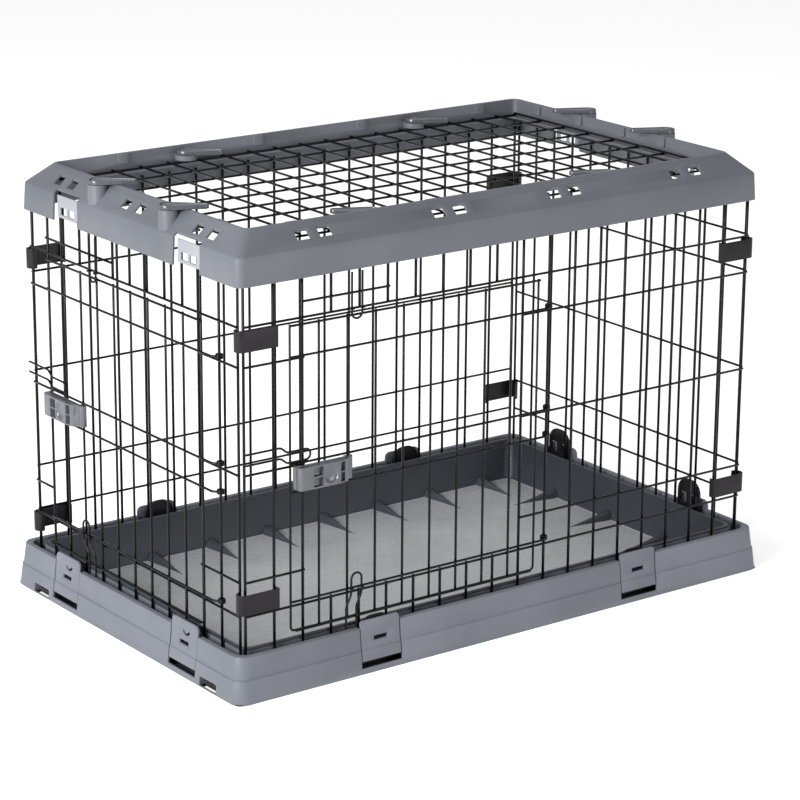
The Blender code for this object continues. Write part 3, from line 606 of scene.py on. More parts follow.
def buildDoorSet(prefix, side, hinge, pinShift, upperShift, jog):
    node = prefix + "_door"
    hingeInset = wallSpan("side_wall" if side == "front" else "end_wall", side)[2]
    lowerPins = freeEdge(node, side) + pinShift
    upperPins = lowerPins + upperShift
    boltLow = doorWork["eyes"][2] + 0.0034
    places, inset, face = buildDoor(node, side, hinge, hingeInset, node, lowerPins, upperPins)
    depth = face - 0.0035
    buildHairpin(node + "_lower_bolt", side, lowerPins, depth, jog, hairpins["lowerTip"],
                 hairpins["lowerBend"], node + "_lower_bolt")
    buildHairpin(node + "_upper_bolt", side, upperPins, depth, 0.0, hairpins["upperTip"],
                 hairpins["upperBend"], node + "_upper_bolt")
    low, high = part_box(node + "_slide_bolt")
    tip = low[0] if side == "front" else -high[1]
    buildSlideBolt(node + "_slide_bolt", side, tip, inset - 0.0034, boltLow, node + "_slide_bolt")
    return places, inset


hingeUpright = 11
sideDoorPlaces, sideDoorInset = buildDoorSet("side", "front", sidePlaces[hingeUpright], 0.1015, 0.0,
                                             hairpins["sideJog"])
endDoorPlaces, endDoorInset = buildDoorSet("end", "left", endPlaces[hingeUpright], 0.097, 0.033,
                                           hairpins["endJog"])
print("doors and bolts made")


roofWork = {"crossWires": 17, "longWires": 7, "layer": 0.0027, "pitchX": 0.0456, "pitchY": 0.057}


def evenPlaces(count, pitch):
    return (np.arange(count) - (count - 1) / 2) * pitch


def buildRoof():
    # two layers of straight wires, evenly spaced from the middle, with one more at each edge
    low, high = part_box("roof_grid")
    radius = wireWork["radius"]
    lower = low[2] + solidWire
    upper = lower + roofWork["layer"]
    acrossX = evenPlaces(roofWork["crossWires"], roofWork["pitchX"])
    alongY = evenPlaces(roofWork["longWires"], roofWork["pitchY"])
    acrossX = np.concatenate(([low[0] + radius], acrossX, [high[0] - radius]))
    alongY = np.concatenate(([low[1] + radius], alongY, [high[1] - radius]))
    parts = []
    for x in acrossX:
        parts.append(tube(straight((x, low[1], upper), (x, high[1], upper)), radius, (0, 0, 1)))
    for y in alongY:
        parts.append(tube(straight((low[0], y, lower), (high[0], y, lower)), radius, (0, 0, 1)))
    roof = makePiece("roof_grid_wires", parts, wireCoat, "top_frame", 60)
    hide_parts("roof_grid")


buildRoof()
print("roof made")


baseRing = {
    "stepZ": 0.033,
    "top": 0.064,
    "draft": 0.003,
    "tierStep": 0.0012,
    "rimInset": 0.007,
    "grooveStart": 0.015,
    "grooveEnd": 0.029,
    "grooveFloor": 0.046,
    "wall": 0.0026,
    "innerWall": 0.003,
    "ledge": 0.030,
    "outerCorner": 0.018,
    "innerCorner": 0.010,
    "latchWidth": 0.064,
    "notchClear": 0.0015,
    "notchBottom": 0.008,
    "notchDepth": 0.0215,
    "edge": 0.0007,
}
latchPlaces = {"front": 0.227, "back": 0.227, "left": 0.153, "right": 0.153}
hands = (("left", -1), ("right", 1))


def wallBlocks(side, spans):
    return [partOnWall(side, plainBox((a[0], i[0], z[0]), (a[1], i[1], z[1]))) for a, i, z in spans]


def buildBaseRing():
    # a hollow two-tier profile carried round the outline, cut for the latches and the rollers
    b = baseRing
    wall, rim = b["wall"], b["rimInset"]
    step = b["draft"] + b["tierStep"]
    inner = b["grooveEnd"] + b["innerWall"]
    line = b["stepZ"]
    outer = [(0.0006, 0.0), (0.0, 0.0012), (b["draft"], line - 0.0006), (b["draft"] + 0.0011, line - 0.0004)]
    outer += [(b["draft"] + 0.0013, line + 0.0006), (step - 0.0001, line + 0.0012), (rim, b["top"] - 0.0012)]
    outer += [(rim + 0.0004, b["top"] - 0.0003), (rim + 0.0013, b["top"])]
    outer += [(b["grooveStart"] - 0.0006, b["top"]), (b["grooveStart"], b["top"] - 0.0006)]
    outer.append((b["grooveStart"], b["grooveFloor"]))
    inside = [(b["grooveEnd"], b["grooveFloor"]), (b["grooveEnd"], b["top"] - 0.0024)]
    inside += [(b["grooveEnd"] + 0.0004, b["top"] - 0.002), (inner, b["top"] - 0.002), (inner, wall)]
    inside += [(inner + b["ledge"], wall), (inner + b["ledge"], 0.0), (b["grooveEnd"], 0.0)]
    under = [(b["grooveEnd"], b["grooveFloor"] - wall), (rim + wall, b["grooveFloor"] - wall)]
    under += [(step + wall, line + 0.0012), (wall, 0.0)]
    profile = [(i, z, b["outerCorner"]) for i, z in outer]
    profile += [(i, z, b["innerCorner"]) for i, z in inside]
    profile += [(i, z, b["innerCorner"] + 0.004) for i, z in under]
    ring = makePiece("base_ring", [ringMould(profile, 8)], basePlastic, "frame")
    half = b["latchWidth"] / 2 + b["notchClear"]
    cuts = []
    for side, offset in latchPlaces.items():
        for _, sign in hands:
            middle = sign * offset
            height = (b["notchBottom"], b["top"] + 0.004)
            span = ((middle - half, middle + half), (-0.004, b["notchDepth"]), height)
            cuts += wallBlocks(side, [span])
    carve(ring, cuts)
    addRollerHousings(ring)
    softenEdges(ring, b["edge"], 2, 32)
    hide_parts("base_frame")
    buildBaseWeb()


def buildBaseWeb():
    # a thin flat ring that closes the hollow from below, open under the rollers; its black finish is painted
    # shade in the hollow seen through the latch notches
    b = baseRing
    edge = b["grooveEnd"] + 0.001
    outline = ((0.0016, 0.0006), (edge, 0.0006), (edge, 0.0018), (0.0016, 0.0018))
    mould = ringMould([(i, z, b["innerCorner"]) for i, z in outline], 4)
    shadeWeb = makePiece("base_web_painted_shade", [mould], blackPlastic, "frame")
    openings = []
    for sign in (-1, 1):
        middle = sign * rollerWork["offset"]
        openings.append(((middle - 0.0145, middle + 0.0145), (0.0026, 0.0186), (-0.002, 0.004)))
    carve(shadeWeb, wallBlocks("left", openings))


rollerWork = {"offset": 0.218, "recess": 0.040, "recessZ": 0.0145, "rib": 0.003, "radius": 0.0070,
              "width": 0.026, "inset": 0.0105, "z": 0.0078}


def addRollerHousings(ring):
    # two cheeks and a back wall round each roller, and its opening through the skin
    r = rollerWork
    half = r["recess"] / 2
    ribs, cuts = [], []
    for middle in (-r["offset"], r["offset"]):
        cuts.append(((middle - half, middle + half), (-0.003, 0.0024), (0.0021, r["recessZ"])))
        cuts.append(((middle - half, middle + half), (0.0022, 0.008), (-0.002, r["recessZ"])))
        for start in (middle - half - r["rib"], middle + half):
            ribs.append(((start, start + r["rib"]), (0.0026, 0.020), (0.0004, r["recessZ"] + 0.004)))
        ribs.append(((middle - half, middle + half), (0.0190, 0.0205), (0.0004, r["recessZ"] + 0.012)))
    carve(ring, wallBlocks("left", ribs), "UNION")
    carve(ring, wallBlocks("left", cuts))


def buildRollers():
    # a turned profile of (place along the pin, radius): a wheel with two grooves and round shoulders
    r = rollerWork
    half, radius = r["width"] / 2, r["radius"]
    shoulder = [(half - 0.002, radius), (half - 0.0010, radius - 0.0002)]
    shoulder += [(half, radius - 0.0012), (half, 0.0024)]
    profile = [(-place, turned) for place, turned in reversed(shoulder)]
    for groove in (-0.004, 0.004):
        for place, cut in ((-0.0012, 0.0), (-0.0006, 0.0008), (0.0006, 0.0008), (0.0012, 0.0)):
            profile.append((groove + place, radius - cut))
    profile = np.asarray(profile + shoulder)
    a = np.radians(np.arange(32) * 360.0 / 32)
    for name, middle in (("roller_rear", -r["offset"]), ("roller_front", r["offset"])):
        along = np.repeat((profile[:, 0] + middle)[:, None], 32, 1)
        inset = r["inset"] + profile[:, 1][:, None] * np.cos(a)[None]
        z = r["z"] + profile[:, 1][:, None] * np.sin(a)[None]
        part = lathe(onWall("left", np.stack((along, inset, z), -1)), closed=True)
        wheel = makePiece(name + "_wheel", [part], blackPlastic, name, 40)
        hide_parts(name)


buildBaseRing()
buildRollers()
print("base made")


trayWork = {
    "rimInset": 0.0298,
    "rimWidth": 0.0057,
    "rimLow": 0.0623,
    "rimThick": 0.0032,
    "wallInset": 0.0325,
    "slope": 0.011,
    "floorLow": 0.0029,
    "floorThick": 0.0025,
    "corner": 0.012,
    "ribLength": 0.080,
    "ribWidth": 0.024,
    "ribHeight": 0.0125,
    "ribPitch": 0.102,
}


def buildTray():
    # rings of the rounded outline from the underside, over the rolled rim and down to the floor
    t = trayWork
    deep = t["wallInset"] + t["slope"]
    rimIn = t["rimInset"] + t["rimWidth"]
    floorTop = t["floorLow"] + t["floorThick"]
    top = t["rimLow"] + t["rimThick"]
    under, rimLow = t["floorLow"], t["rimLow"]
    outside = [(deep + 0.0060, under), (deep + 0.0025, under + 0.0004), (deep, under + 0.003)]
    outside += [(t["wallInset"], rimLow - 0.001), (t["wallInset"], rimLow), (t["rimInset"], rimLow)]
    roll = arcPoints((t["rimInset"] + 0.0016, top - 0.0016), 0.0016, 180, 90, 4)
    rollIn = arcPoints((rimIn - 0.0016, top - 0.0016), 0.0016, 90, 0, 4)
    outside += [tuple(p) for p in np.concatenate((roll, rollIn))]
    corner = 0.0045
    inside = [(rimIn, t["rimLow"] - 0.0004), (deep + 0.0028, floorTop + corner + 0.0006)]
    for further, lift in ((0.0040, 0.0018), (0.0060, 0.0005), (0.0090, 0.0)):
        inside.append((deep + further, floorTop + lift))
    rings = []
    for inset, height in outside + inside:
        outline = roundedBox(halfLength - inset, halfWidth - inset, t["corner"], 8)
        rings.append(np.column_stack((outline, np.full(len(outline), height))))
    for further in (0.0105, 0.0130):
        outline = roundedBox(halfLength - deep - further, halfWidth - deep - further, t["corner"], 8)
        rings.append(np.column_stack((outline, np.full(len(outline), floorTop))))
    ribs = trayRibs(deep, floorTop)
    tray = makePiece("floor_tray", [lathe(rings), *ribs], trayShadedPlastic, "tray", 28)
    # upward-facing floor faces take the light copy as painted light and reflection; all other tray faces keep
    # the dark copy as painted shade
    tray.data.materials.append(trayLitFloorPlastic)
    polygons = tray.data.polygons
    level = np.empty(len(polygons) * 3, np.float32)
    middle = np.empty(len(polygons) * 3, np.float32)
    polygons.foreach_get("normal", level)
    polygons.foreach_get("center", middle)
    isPaintedLitFloor = (level[2::3] > 0.97) & (middle[2::3] < t["rimLow"] - 0.01)
    polygons.foreach_set("material_index", isPaintedLitFloor.astype(np.int32))
    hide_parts("tray")


def trayRibs(deep, floorTop):
    t = trayWork
    reachX = halfLength - deep - 0.0035
    reachY = halfWidth - deep - 0.0035
    ribs = []
    for k in range(8):
        middle = (k - 3.5) * t["ribPitch"]
        for sign in (-1, 1):
            ribs.append(trayRib((middle, sign * reachY), (0, -sign), floorTop))
    for middle in (-0.130, 0.0, 0.130):
        for sign in (-1, 1):
            ribs.append(trayRib((sign * reachX, middle), (-sign, 0), floorTop))
    return ribs


def trayRib(root, heading, floorTop):
    # a pointed rib: its width and height fall to nothing along its length, on a curve
    t = trayWork
    sink = 0.0010
    s = np.linspace(0, 1, 9)
    width = t["ribWidth"] / 2 * (1 - s) ** 1.15 + 0.0003
    height = t["ribHeight"] * (1 - s) ** 1.5 + 0.0004
    side = np.array((-heading[1], heading[0]))
    middle = np.asarray(root)[None] + np.asarray(heading)[None] * (s * t["ribLength"])[:, None]
    rings = []
    for share, lift in ((-1, 0), (-0.55, 0.75), (0, 1), (0.55, 0.75), (1, 0)):
        xy = middle + side[None] * (share * width)[:, None]
        z = np.where(lift > 0, floorTop + height * lift, floorTop - sink)
        rings.append(np.column_stack((xy, z)))
    return lathe(np.stack(rings, 1))


buildTray()
print("tray made")


latchWork = {
    "bottom": 0.0175,
    "plateWall": 0.003,
    "skin": 0.0006,
    "tops": {"front": 0.073, "back": 0.077, "left": 0.077, "right": 0.077},
    "hookTops": {"front": 0.075, "back": 0.084, "left": 0.075, "right": 0.104},
    "hookFoot": 0.046,
    "hookInset": 0.0165,
    "hookThick": 0.0035,
    "hookHalf": 0.024,
    "edge": 0.0006,
}


def latchPlate(side, middle):
    # the outer skin follows the base's two tiers; it is carried along the wall, then its top is rounded
    b, w = baseRing, latchWork
    half = b["latchWidth"] / 2
    top = w["tops"][side]
    skin, wall = w["skin"], w["plateWall"]
    line = b["stepZ"]
    step = b["draft"] + b["tierStep"]
    rim = b["rimInset"]
    outline = [(skin + 0.0012, w["bottom"]), (b["draft"] + skin, line - 0.0004)]
    outline += [(b["draft"] + skin + 0.0010, line), (step + skin, line + 0.0012)]
    outline += [(rim + skin, b["top"]), (rim + 0.0015, top)]
    outline += [(rim + 0.0015 + wall, top), (rim + wall, b["top"]), (b["draft"] + wall + 0.002, line + 0.002)]
    outline.append((wall + 0.002, w["bottom"]))
    return slab(outline, middle - half, middle + half, "x", 0.0003)


def cornerCutters(middle, half, top, radius, inset):
    # the two pieces outside a rounded top corner, which are cut away from a plate
    cutters = []
    for sign in (-1, 1):
        centre = (middle + sign * (half - radius), top - radius)
        arc = arcPoints(centre, radius, 0 if sign > 0 else 90, 90 if sign > 0 else 180, 8)
        beyond = middle + sign * (half + 0.002)
        corner = [(beyond, top - radius), (beyond, top + 0.002)]
        corner.append((middle + sign * (half - radius), top + 0.002))
        outline = list(map(tuple, arc)) + (corner[::-1] if sign > 0 else corner)
        cutters.append(slab(outline, inset[0], inset[1], "y", 0.0))
    return cutters


def buildLatchPlate(side, hand, middle):
    w, b = latchWork, baseRing
    name = f"base_latch_{side}_{hand}"
    half = b["latchWidth"] / 2
    top = w["tops"][side]
    plate = makePiece(name + "_plate", [partOnWall(side, latchPlate(side, middle))], basePlastic, name)
    cuts = [plainBox((middle - 0.011, -0.005, 0.0435), (middle + 0.011, 0.020, 0.0495))]
    cuts += cornerCutters(middle, half, top, 0.0045 if side == "front" else 0.008, (-0.004, 0.020))
    if side != "front":
        arcSlot = np.concatenate((arcPoints((middle + 0.004, 0.0665), 0.0095, 200, 340, 10),
                                  arcPoints((middle + 0.004, 0.0665), 0.0062, 340, 200, 10)))
        cuts.append(slab(arcSlot, 0.0, 0.020, "y", 0.0))
    carve(plate, allOnWall(side, cuts))
    softenEdges(plate, w["edge"], 2, 32, 28)
    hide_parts(name)


def buildLatchHook(side, hand, middle):
    # an upright plate with a rounded top and two arms that join it to the latch
    w = latchWork
    name = f"base_hook_{side}_{hand}"
    half, foot, top = w["hookHalf"], w["hookFoot"], w["hookTops"][side]
    radius = min(0.020, (top - foot) * 0.6)
    outline = [(middle - half, foot), (middle + half, foot)]
    outline += list(map(tuple, arcPoints((middle + half - radius, top - radius), radius, 0, 90, 10)))
    outline += list(map(tuple, arcPoints((middle - half + radius, top - radius), radius, 90, 180, 10)))
    start = w["hookInset"]
    back = start + w["hookThick"]
    plate = partOnWall(side, slab(outline, start, back, "y", 0.0004))
    hook = makePiece(name + "_plate", [plate], blackPlastic, f"base_latch_{side}_{hand}")
    plateBack = baseRing["rimInset"] + w["plateWall"] + 0.0019
    arms = []
    for x in (-0.018, 0.018):
        low = (middle + x - 0.004, plateBack, foot + 0.003)
        arms.append(plainBox(low, (middle + x + 0.004, start + 0.001, foot + 0.009)))
    carve(hook, allOnWall(side, arms), "UNION")
    if top - foot > 0.045:
        holes = []
        for x in (-0.011, 0.011):
            window = roundedBox(0.0068, 0.0085, 0.003, 4) + np.array((middle + x, foot + 0.028))
            holes.append(slab(window, start - 0.002, back + 0.002, "y", 0.0))
        carve(hook, allOnWall(side, holes))
    softenEdges(hook, w["edge"], 2, 32, 28)
    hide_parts(name)


for latchSide, latchOffset in latchPlaces.items():
    for handName, handSign in hands:
        buildLatchPlate(latchSide, handName, handSign * latchOffset)
        buildLatchHook(latchSide, handName, handSign * latchOffset)
print("base latches made")


clipWork = {"wall": 0.0026, "bore": 0.0068, "edge": 0.0005}


def buildClips():
    # a C round the two corner wires, with a flat arm that hooks on the long wall's next wire
    c = clipWork
    end = sidePlaces[-1]
    pitch = sidePlaces[1] - sidePlaces[0]
    centre = (end + 0.0016, halfWidth - wallSpan("side_wall", "front")[2] - 0.0024)
    outer = c["bore"] + c["wall"]
    tail = end - pitch - 0.0025
    face = centre[1] + c["bore"]
    outline = list(map(tuple, arcPoints(centre, outer, -100, 90, 24)))
    outline += [(tail + 0.004, face + c["wall"]), (tail - c["wall"] + 0.0015, face + c["wall"])]
    outline += [(tail - c["wall"], face + c["wall"] - 0.0015), (tail - c["wall"], face - 0.0072)]
    outline += [(tail - 0.0004, face - 0.0075), (tail, face - 0.0066), (tail, face)]
    outline += list(map(tuple, arcPoints(centre, c["bore"], 90, -100, 20)))
    for depthName, signY in (("rear", 1), ("front", -1)):
        for handName, signX in hands:
            turned = np.asarray(outline) * np.array((signX, signY))
            for level in ("lower", "upper"):
                name = f"corner_clip_{depthName}_{handName}_{level}"
                low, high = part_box(name)
                clip = makePiece(name + "_body", [slab(turned, low[2], high[2], "z", 0.0003)], blackPlastic,
                                 "frame")
                softenEdges(clip, c["edge"], 2, 35, 30)
                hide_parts(name)


buildClips()
print("corner clips made")


topWork = {
    "skirtBottom": 0.556,
    "skirtTop": 0.594,
    "lip": 0.6225,
    "skirtInset": 0.017,
    "draft": 0.002,
    "slope": 0.030,
    "lipWidth": 0.005,
    "wall": 0.0026,
    "shelf": 0.008,
    "shelfZ": 0.5945,
    "windowPitch": 0.035,
    "windowInset": (0.0285, 0.0405),
    "windowWidth": {"long": 0.020, "short": 0.017},
    "windows": {"long": (-0.316, -0.098, 0.098, 0.316), "short": (-0.175, 0.0, 0.175)},
    "tabs": {"long": (-0.336, -0.113, 0.071, 0.299), "short": (0.180, 0.082, -0.017, -0.106)},
    "openPast": 0.030,
    "tabWidth": 0.016,
    "notchWidth": 0.064,
    "notchDepth": 0.008,
    "edge": 0.0006,
}
leverPlaces = {"front": 0.202, "back": 0.202, "left": 0.089, "right": 0.089}
leverWork = {"hub": 0.013, "tip": 0.006, "length": 0.047, "thick": 0.0062, "gap": 0.0003,
             "endInset": 0.032, "sideInset": 0.0675, "sideTop": 0.612, "endBoss": 0.0135, "sideBoss": 0.016}


def sideKind(side):
    return "long" if side in ("front", "back") else "short"


def leverSeat(side):
    if sideKind(side) == "short":
        return leverWork["endInset"], topWork["lip"], leverWork["endBoss"], topWork["skirtTop"] + 0.0005
    return leverWork["sideInset"], leverWork["sideTop"], leverWork["sideBoss"], topWork["shelfZ"] + 0.010


def post(along, inset, radius, low, high, sides=40, edge=0.0005):
    return slab(arcPoints((along, inset), radius, 0, 360 - 360 / sides, sides - 1), low, high, "z", edge)


def slopeZ(inset):
    t = topWork
    share = (inset - t["skirtInset"] - t["draft"]) / t["slope"]
    return t["skirtTop"] + share * (t["lip"] - t["skirtTop"])


def slopePanel(start, end, low, high, depth, lift=0.004):
    # a flat block laid in the slope, from inset low to inset high, sunk by depth
    fall = (topWork["lip"] - topWork["skirtTop"]) / topWork["slope"]
    size = math.hypot(1.0, fall)
    down = (fall / size * depth, -depth / size)
    up = (-fall / size * lift, lift / size)
    outline = [(low + down[0], slopeZ(low) + down[1]), (high + down[0], slopeZ(high) + down[1])]
    outline += [(high + up[0], slopeZ(high) + up[1]), (low + up[0], slopeZ(low) + up[1])]
    return slab(outline, start, end, "x", 0.0)


def buildTopFrame():
    # a skirt, slope, lip and shelf profile carried round the outline, then joined to bosses and tabs and cut
    t = topWork
    topIn = t["skirtInset"] + t["draft"]
    lip = topIn + t["slope"]
    inner = lip + t["lipWidth"]
    wall = t["wall"]
    outer = [(t["skirtInset"], t["skirtBottom"]), (topIn - 0.0001, t["skirtTop"] - 0.0010)]
    outer += [(topIn + 0.0004, t["skirtTop"] + 0.0001), (topIn + 0.0012, slopeZ(topIn + 0.0012))]
    outer.append((lip - 0.0012, slopeZ(lip - 0.0012)))
    outer += [(lip - 0.0003, t["lip"] - 0.0003), (lip + 0.0008, t["lip"])]
    inside = [(inner - 0.0008, t["lip"]), (inner, t["lip"] - 0.0008), (inner, t["shelfZ"] + 0.0026)]
    inside += [(inner + t["shelf"], t["shelfZ"] + 0.0026), (inner + t["shelf"], t["shelfZ"])]
    inside += [(inner - wall, t["shelfZ"]), (inner - wall, t["lip"] - 0.0034)]
    inside.append((lip + 0.0008, t["lip"] - 0.0034))
    inside += [(topIn + wall, t["skirtTop"] - 0.0008), (t["skirtInset"] + wall, t["skirtBottom"])]
    profile = [(i, z, 0.012) for i, z in outer] + [(i, z, 0.008) for i, z in inside]
    top = makePiece("top_moulding", [ringMould(profile, 6)], greyPlastic, "top_frame")
    adds, cuts = [], []
    for side in wallTurn:
        kind = sideKind(side)
        inset, seat, boss, low = leverSeat(side)
        half = t["tabWidth"] / 2
        for _, sign in hands:
            along = sign * leverPlaces[side]
            adds.append(partOnWall(side, post(along, inset, boss, low, seat)))
            cuts.append(partOnWall(side, post(along, inset, 0.0045, seat - 0.0065, seat + 0.004, 24, 0.0)))
        for x in t["tabs"][kind]:
            adds.append(partOnWall(side, tabBlock(x, half, inner)))
        width = t["windowWidth"][kind] / 2
        for middle in t["windows"][kind]:
            for sign in (-1, 1):
                centre = middle + sign * t["windowPitch"] / 2
                span = ((centre - width, centre + width), t["windowInset"], (0.585, 0.630))
                cuts += wallBlocks(side, [span])
            if side in ("front", "left"):
                reach = t["windowPitch"] / 2 + width + t["openPast"]
                depth = (lip + 0.0004, inner + 0.010)
                under = ((middle - reach, middle + reach), depth, (0.585, t["lip"] - 0.009))
                cuts += wallBlocks(side, [under])
    for side in ("left", "right"):
        for _, sign in hands:
            middle = sign * latchPlaces[side]
            half = t["notchWidth"] / 2
            span = ((middle - half, middle + half), (0.010, t["skirtInset"] + t["notchDepth"]),
                    (t["skirtBottom"] - 0.004, t["skirtTop"] + 0.009))
            cuts += wallBlocks(side, [span])
    cuts.append(partOnWall("front", slopePanel(-0.059, 0.039, 0.0265, 0.0405, 0.0006)))
    carve(top, adds, "UNION")
    carve(top, cuts)
    softenEdges(top, t["edge"], 2, 32, 24)
    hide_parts("top_frame")


def tabBlock(x, half, inner):
    # a tab on the lip's inner wall with a rounded lower end
    top = topWork["lip"] - 0.0006
    foot = topWork["lip"] - 0.012
    outline = [(x - half, top), (x - half, foot)]
    outline += list(map(tuple, arcPoints((x - half + 0.003, foot), 0.003, 180, 270, 4)))[1:]
    outline += list(map(tuple, arcPoints((x + half - 0.003, foot), 0.003, 270, 360, 4)))
    outline.append((x + half, top))
    return slab(outline, inner - 0.001, inner + 0.0035, "y", 0.0003)


buildTopFrame()
print("top frame made")


def teardrop(heading, shrink):
    # the outline round a hub circle and a smaller tip circle, drawn in by shrink
    hub, tip = leverWork["hub"] - shrink, leverWork["tip"] - shrink
    length = leverWork["length"]
    spread = math.degrees(math.acos((hub - tip) / length))
    a = math.radians(heading)
    hubArc = arcPoints((0, 0), hub, heading + spread, heading + 360 - spread, 28)
    tipPlace = (length * math.cos(a), length * math.sin(a))
    tipArc = arcPoints(tipPlace, tip, heading - spread, heading + spread, 14)
    return np.concatenate((hubArc, tipArc))


def buildLevers():
    # rings of the teardrop at rising levels: a rounded side, a raised rim and a sunk face
    w = leverWork
    thick = w["thick"]
    steps = [(0.0010, w["gap"]), (0.0, w["gap"] + 0.0008), (0.0, thick - 0.0011), (0.0004, thick - 0.0003)]
    steps += [(0.0011, thick), (0.0018, thick), (0.0022, thick - 0.0005), (0.0025, thick - 0.0036)]
    steps += [(0.0038, thick - 0.0036), (0.0041, thick - 0.0014), (0.0046, thick - 0.0008)]
    steps.append((0.0058, thick - 0.0006))
    for side in wallTurn:
        heading = 145.9 if sideKind(side) == "long" else 55.9
        inset, seat, _, _ = leverSeat(side)
        for handName, sign in hands:
            along = sign * leverPlaces[side]
            rings = []
            for shrink, z in steps:
                flat = teardrop(heading, shrink) + np.array((along, inset))
                rings.append(np.column_stack((flat, np.full(len(flat), seat + z))))
            name = f"lever_{side}_{handName}"
            parts = [lathe(rings)]
            parts.append(post(along, inset, 0.0062, seat + 0.002, seat + thick, 32, 0.0008))
            parts.append(post(along, inset, 0.0040, seat - 0.0060, seat + 0.001, 20, 0.0004))
            lever = makePiece(name + "_arm", allOnWall(side, parts), leverPlastic, name,
                              38)
            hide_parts(name)


buildLevers()
print("levers made")


skirtClip = {"low": 0.562, "high": 0.5934, "thick": 0.0022, "gap": 0.0012, "short": 0.0092}


def buildSkirtClips():
    # a flat rounded plate in each notch of the end skirts, with two square holes
    t, s = topWork, skirtClip
    for side in ("left", "right"):
        for handName, sign in hands:
            middle = sign * latchPlaces[side]
            start = middle - t["notchWidth"] / 2 + s["gap"]
            end = middle + t["notchWidth"] / 2 - s["gap"]
            if side == "left":
                start += s["short"]
            else:
                end -= s["short"]
            near = t["skirtInset"] + t["draft"] - 0.0004
            outline = roundedBox((end - start) / 2, (s["high"] - s["low"]) / 2, 0.0015, 3)
            outline = outline + np.array(((start + end) / 2, (s["low"] + s["high"]) / 2))
            name = f"skirt_clip_{side}_{handName}"
            plate = partOnWall(side, slab(outline, near, near + s["thick"], "y", 0.0003))
            plate = makePiece(name + "_plate", [plate], palePlastic, "top_frame")
            width = (end - start) / 5
            holes = []
            for k in (1, 3):
                low = (start + (k - 0.25) * width, 0.010, s["low"] + 0.0045)
                holes.append(plainBox(low, (start + (k + 1.25) * width, 0.030, s["low"] + 0.0150)))
            carve(plate, allOnWall(side, holes))
            softenEdges(plate, 0.0004, 2, 32, 28)
            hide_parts(name)


buildSkirtClips()
print("skirt clips made")


thumbWork = {
    "low": 0.2755,
    "high": 0.3070,
    "knuckle": 0.0062,
    "bore": 0.0028,
    "length": 0.0855,
    "deep": 0.0165,
    "edge": 0.0007,
}


def buildThumbLatch(node, side, pivot, inset):
    # a block drawn in plan, carved with two nose pockets, a thumb dish and a slot by the pivot
    w = thumbWork
    low, high = w["low"], w["high"]
    middle = (low + high) / 2
    nose = -w["length"]
    face = -0.0024
    outline = [(0.0, face), (nose + 0.003, face), (nose + 0.003, 0.0012), (nose, 0.0012), (nose, -0.008)]
    outline += list(map(tuple, arcPoints((nose + 0.0065, -0.0095), 0.0065, 187, 262, 6)))
    outline += [(nose + 0.014, -0.0158), (nose + 0.026, -w["deep"]), (-0.020, -w["deep"]), (-0.007, -0.0125)]
    outline = np.asarray(outline) + np.array((pivot, inset))
    block = partOnWall(side, slab(outline, low, high, "z", 0.0005))
    latch = makePiece(node + "_body", [block], latchPlastic, node)
    knuckle = post(pivot, inset - 0.001, w["knuckle"], low + 0.0004, high - 0.0004, 32)
    carve(latch, [partOnWall(side, knuckle)], "UNION")
    cuts = [post(pivot, inset, w["bore"], low - 0.002, high + 0.002, 20, 0.0)]
    start = (pivot - 0.01, inset + 0.0014, low - 0.002)
    cuts.append(plainBox(start, (pivot + 0.01, inset + 0.012, high + 0.002)))
    outFace = inset - w["deep"]
    for zLow, zHigh in ((low + 0.0022, middle - 0.0008), (middle + 0.0008, high - 0.0022)):
        for start, end, deep in ((nose + 0.0215, nose + 0.0365, 0.0075), (-0.0215, -0.0135, 0.0080)):
            near = (pivot + start, outFace - 0.004, zLow)
            cuts.append(plainBox(near, (pivot + end, outFace + deep, zHigh)))
    cuts.append(thumbDish(pivot + nose + 0.049, outFace, middle))
    carve(latch, allOnWall(side, cuts))
    softenEdges(latch, w["edge"], 2, 34, 30)
    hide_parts(node)


def thumbDish(along, face, z):
    # half an egg shape: the dish that the thumb presses
    a = np.radians(np.arange(28) * 360.0 / 28)
    rings = []
    for tilt in np.radians(np.linspace(-88, 88, 13)):
        radius = np.cos(tilt)
        x = along + 0.0108 * radius * np.cos(a)
        zz = z + 0.0125 * radius * np.sin(a)
        rings.append(np.column_stack((x, np.full(28, face + 0.0036 * np.sin(tilt)), zz)))
    return lathe(rings)


buildThumbLatch("side_door_latch", "front", sideDoorPlaces[2], sideDoorInset)
buildThumbLatch("end_door_latch", "left", endDoorPlaces[2], endDoorInset)
print("door latches made")


# The pins stay as they are in the CAD and get their finish here
def brightPin():
    made, tree, shader, coat = startMaterial("pinSteel", coatGroup)
    shader.inputs["Metallic"].default_value = 1.0
    addTone(tree, shader, coat.outputs["Film"], (0.55, 0.55, 0.54), (0.68, 0.68, 0.67))
    addGloss(tree, shader, coat.outputs["Film"], 0.24, 0.36)
    return made


pinSteel = brightPin()
for pinNode in ("roller_rear_pin", "roller_front_pin"):
    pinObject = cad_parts[pinNode]
    pinObject.data.materials.clear()
    pinObject.data.materials.append(pinSteel)


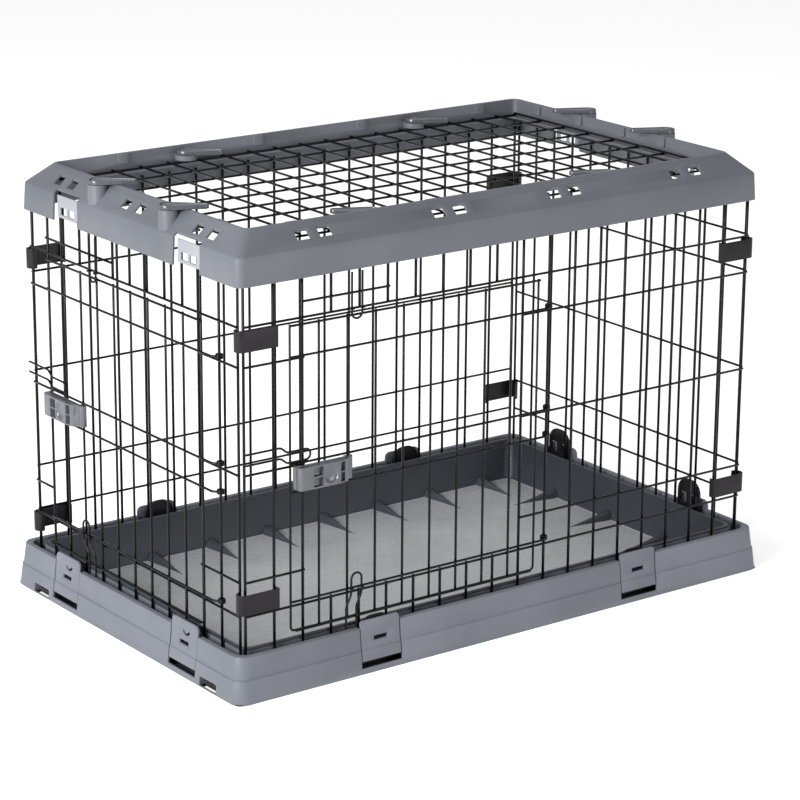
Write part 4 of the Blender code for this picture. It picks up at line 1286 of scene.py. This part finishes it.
def buildStudio():
    ground = bpy.data.materials.new("studioFloor")
    ground.use_nodes = True
    shader = ground.node_tree.nodes["Principled BSDF"]
    shader.inputs["Base Color"].default_value = (0.95, 0.95, 0.95, 1)
    shader.inputs["Roughness"].default_value = 0.9
    shader.inputs["Specular IOR Level"].default_value = 0.0
    shader.inputs["Emission Color"].default_value = (1, 1, 1, 1)
    shader.inputs["Emission Strength"].default_value = 0.36
    corners = np.array(((-9, -9, 0), (9, -9, 0), (9, 9, 0), (-9, 9, 0)), float)
    floor = makePiece("studio_floor", [(corners, [[0, 1, 2, 3]])], ground, None)
    world = bpy.data.worlds.new("studioWorld")
    world.use_nodes = True
    world.node_tree.nodes["Background"].inputs["Color"].default_value = (1, 1, 1, 1)
    world.node_tree.nodes["Background"].inputs["Strength"].default_value = 0.55
    bpy.context.scene.world = world
    bpy.context.scene.view_settings.view_transform = "Standard"
    lamps = (
        ("keyLamp", (-3.6, -0.9, 1.7), 1.6, 190.0),
        ("topLamp", (0.6, 1.6, 3.4), 2.4, 22.0),
        ("fillLamp", (1.2, -4.4, 0.35), 2.6, 70.0),
    )
    for name, place, size, power in lamps:
        light = bpy.data.lights.new(name, "AREA")
        light.size = size
        light.energy = power
        lamp = bpy.data.objects.new(name, light)
        bpy.context.scene.collection.objects.link(lamp)
        aim(lamp, np.array(place), np.array((0, 0, 0.3)))


def aim(item, place, target):
    # turns an object so that its -Z looks from place to target
    ahead = target - place
    ahead = ahead / np.linalg.norm(ahead)
    right = np.cross(ahead, (0, 0, 1))
    right /= np.linalg.norm(right)
    up = np.cross(right, ahead)
    turn = Matrix(np.column_stack((right, up, -ahead)).tolist()).to_4x4()
    item.matrix_world = Matrix.Translation(place.tolist()) @ turn


cameraView = {"azimuth": -36.547, "elevation": 16.813, "roll": 0.423, "lens": 133.2,
              "place": (-2.4140, -3.2759, 1.4965)}


def buildCamera():
    v = cameraView
    az, el, roll = (math.radians(v[k]) for k in ("azimuth", "elevation", "roll"))
    ahead = np.array((-math.sin(az) * math.cos(el), math.cos(az) * math.cos(el), -math.sin(el)))
    right = np.cross(ahead, (0, 0, 1))
    right /= np.linalg.norm(right)
    up = np.cross(right, ahead)
    rolledRight = math.cos(roll) * right + math.sin(roll) * up
    rolledUp = math.cos(roll) * up - math.sin(roll) * right
    view = bpy.data.cameras.new("camera")
    view.lens = v["lens"]
    view.sensor_width = 36.0
    view.clip_end = 60.0
    camera = bpy.data.objects.new("camera", view)
    bpy.context.scene.collection.objects.link(camera)
    turn = Matrix(np.column_stack((rolledRight, rolledUp, -ahead)).tolist()).to_4x4()
    camera.matrix_world = Matrix.Translation(v["place"]) @ turn
    bpy.context.scene.camera = camera


buildStudio()
buildCamera()

print("crate finished")
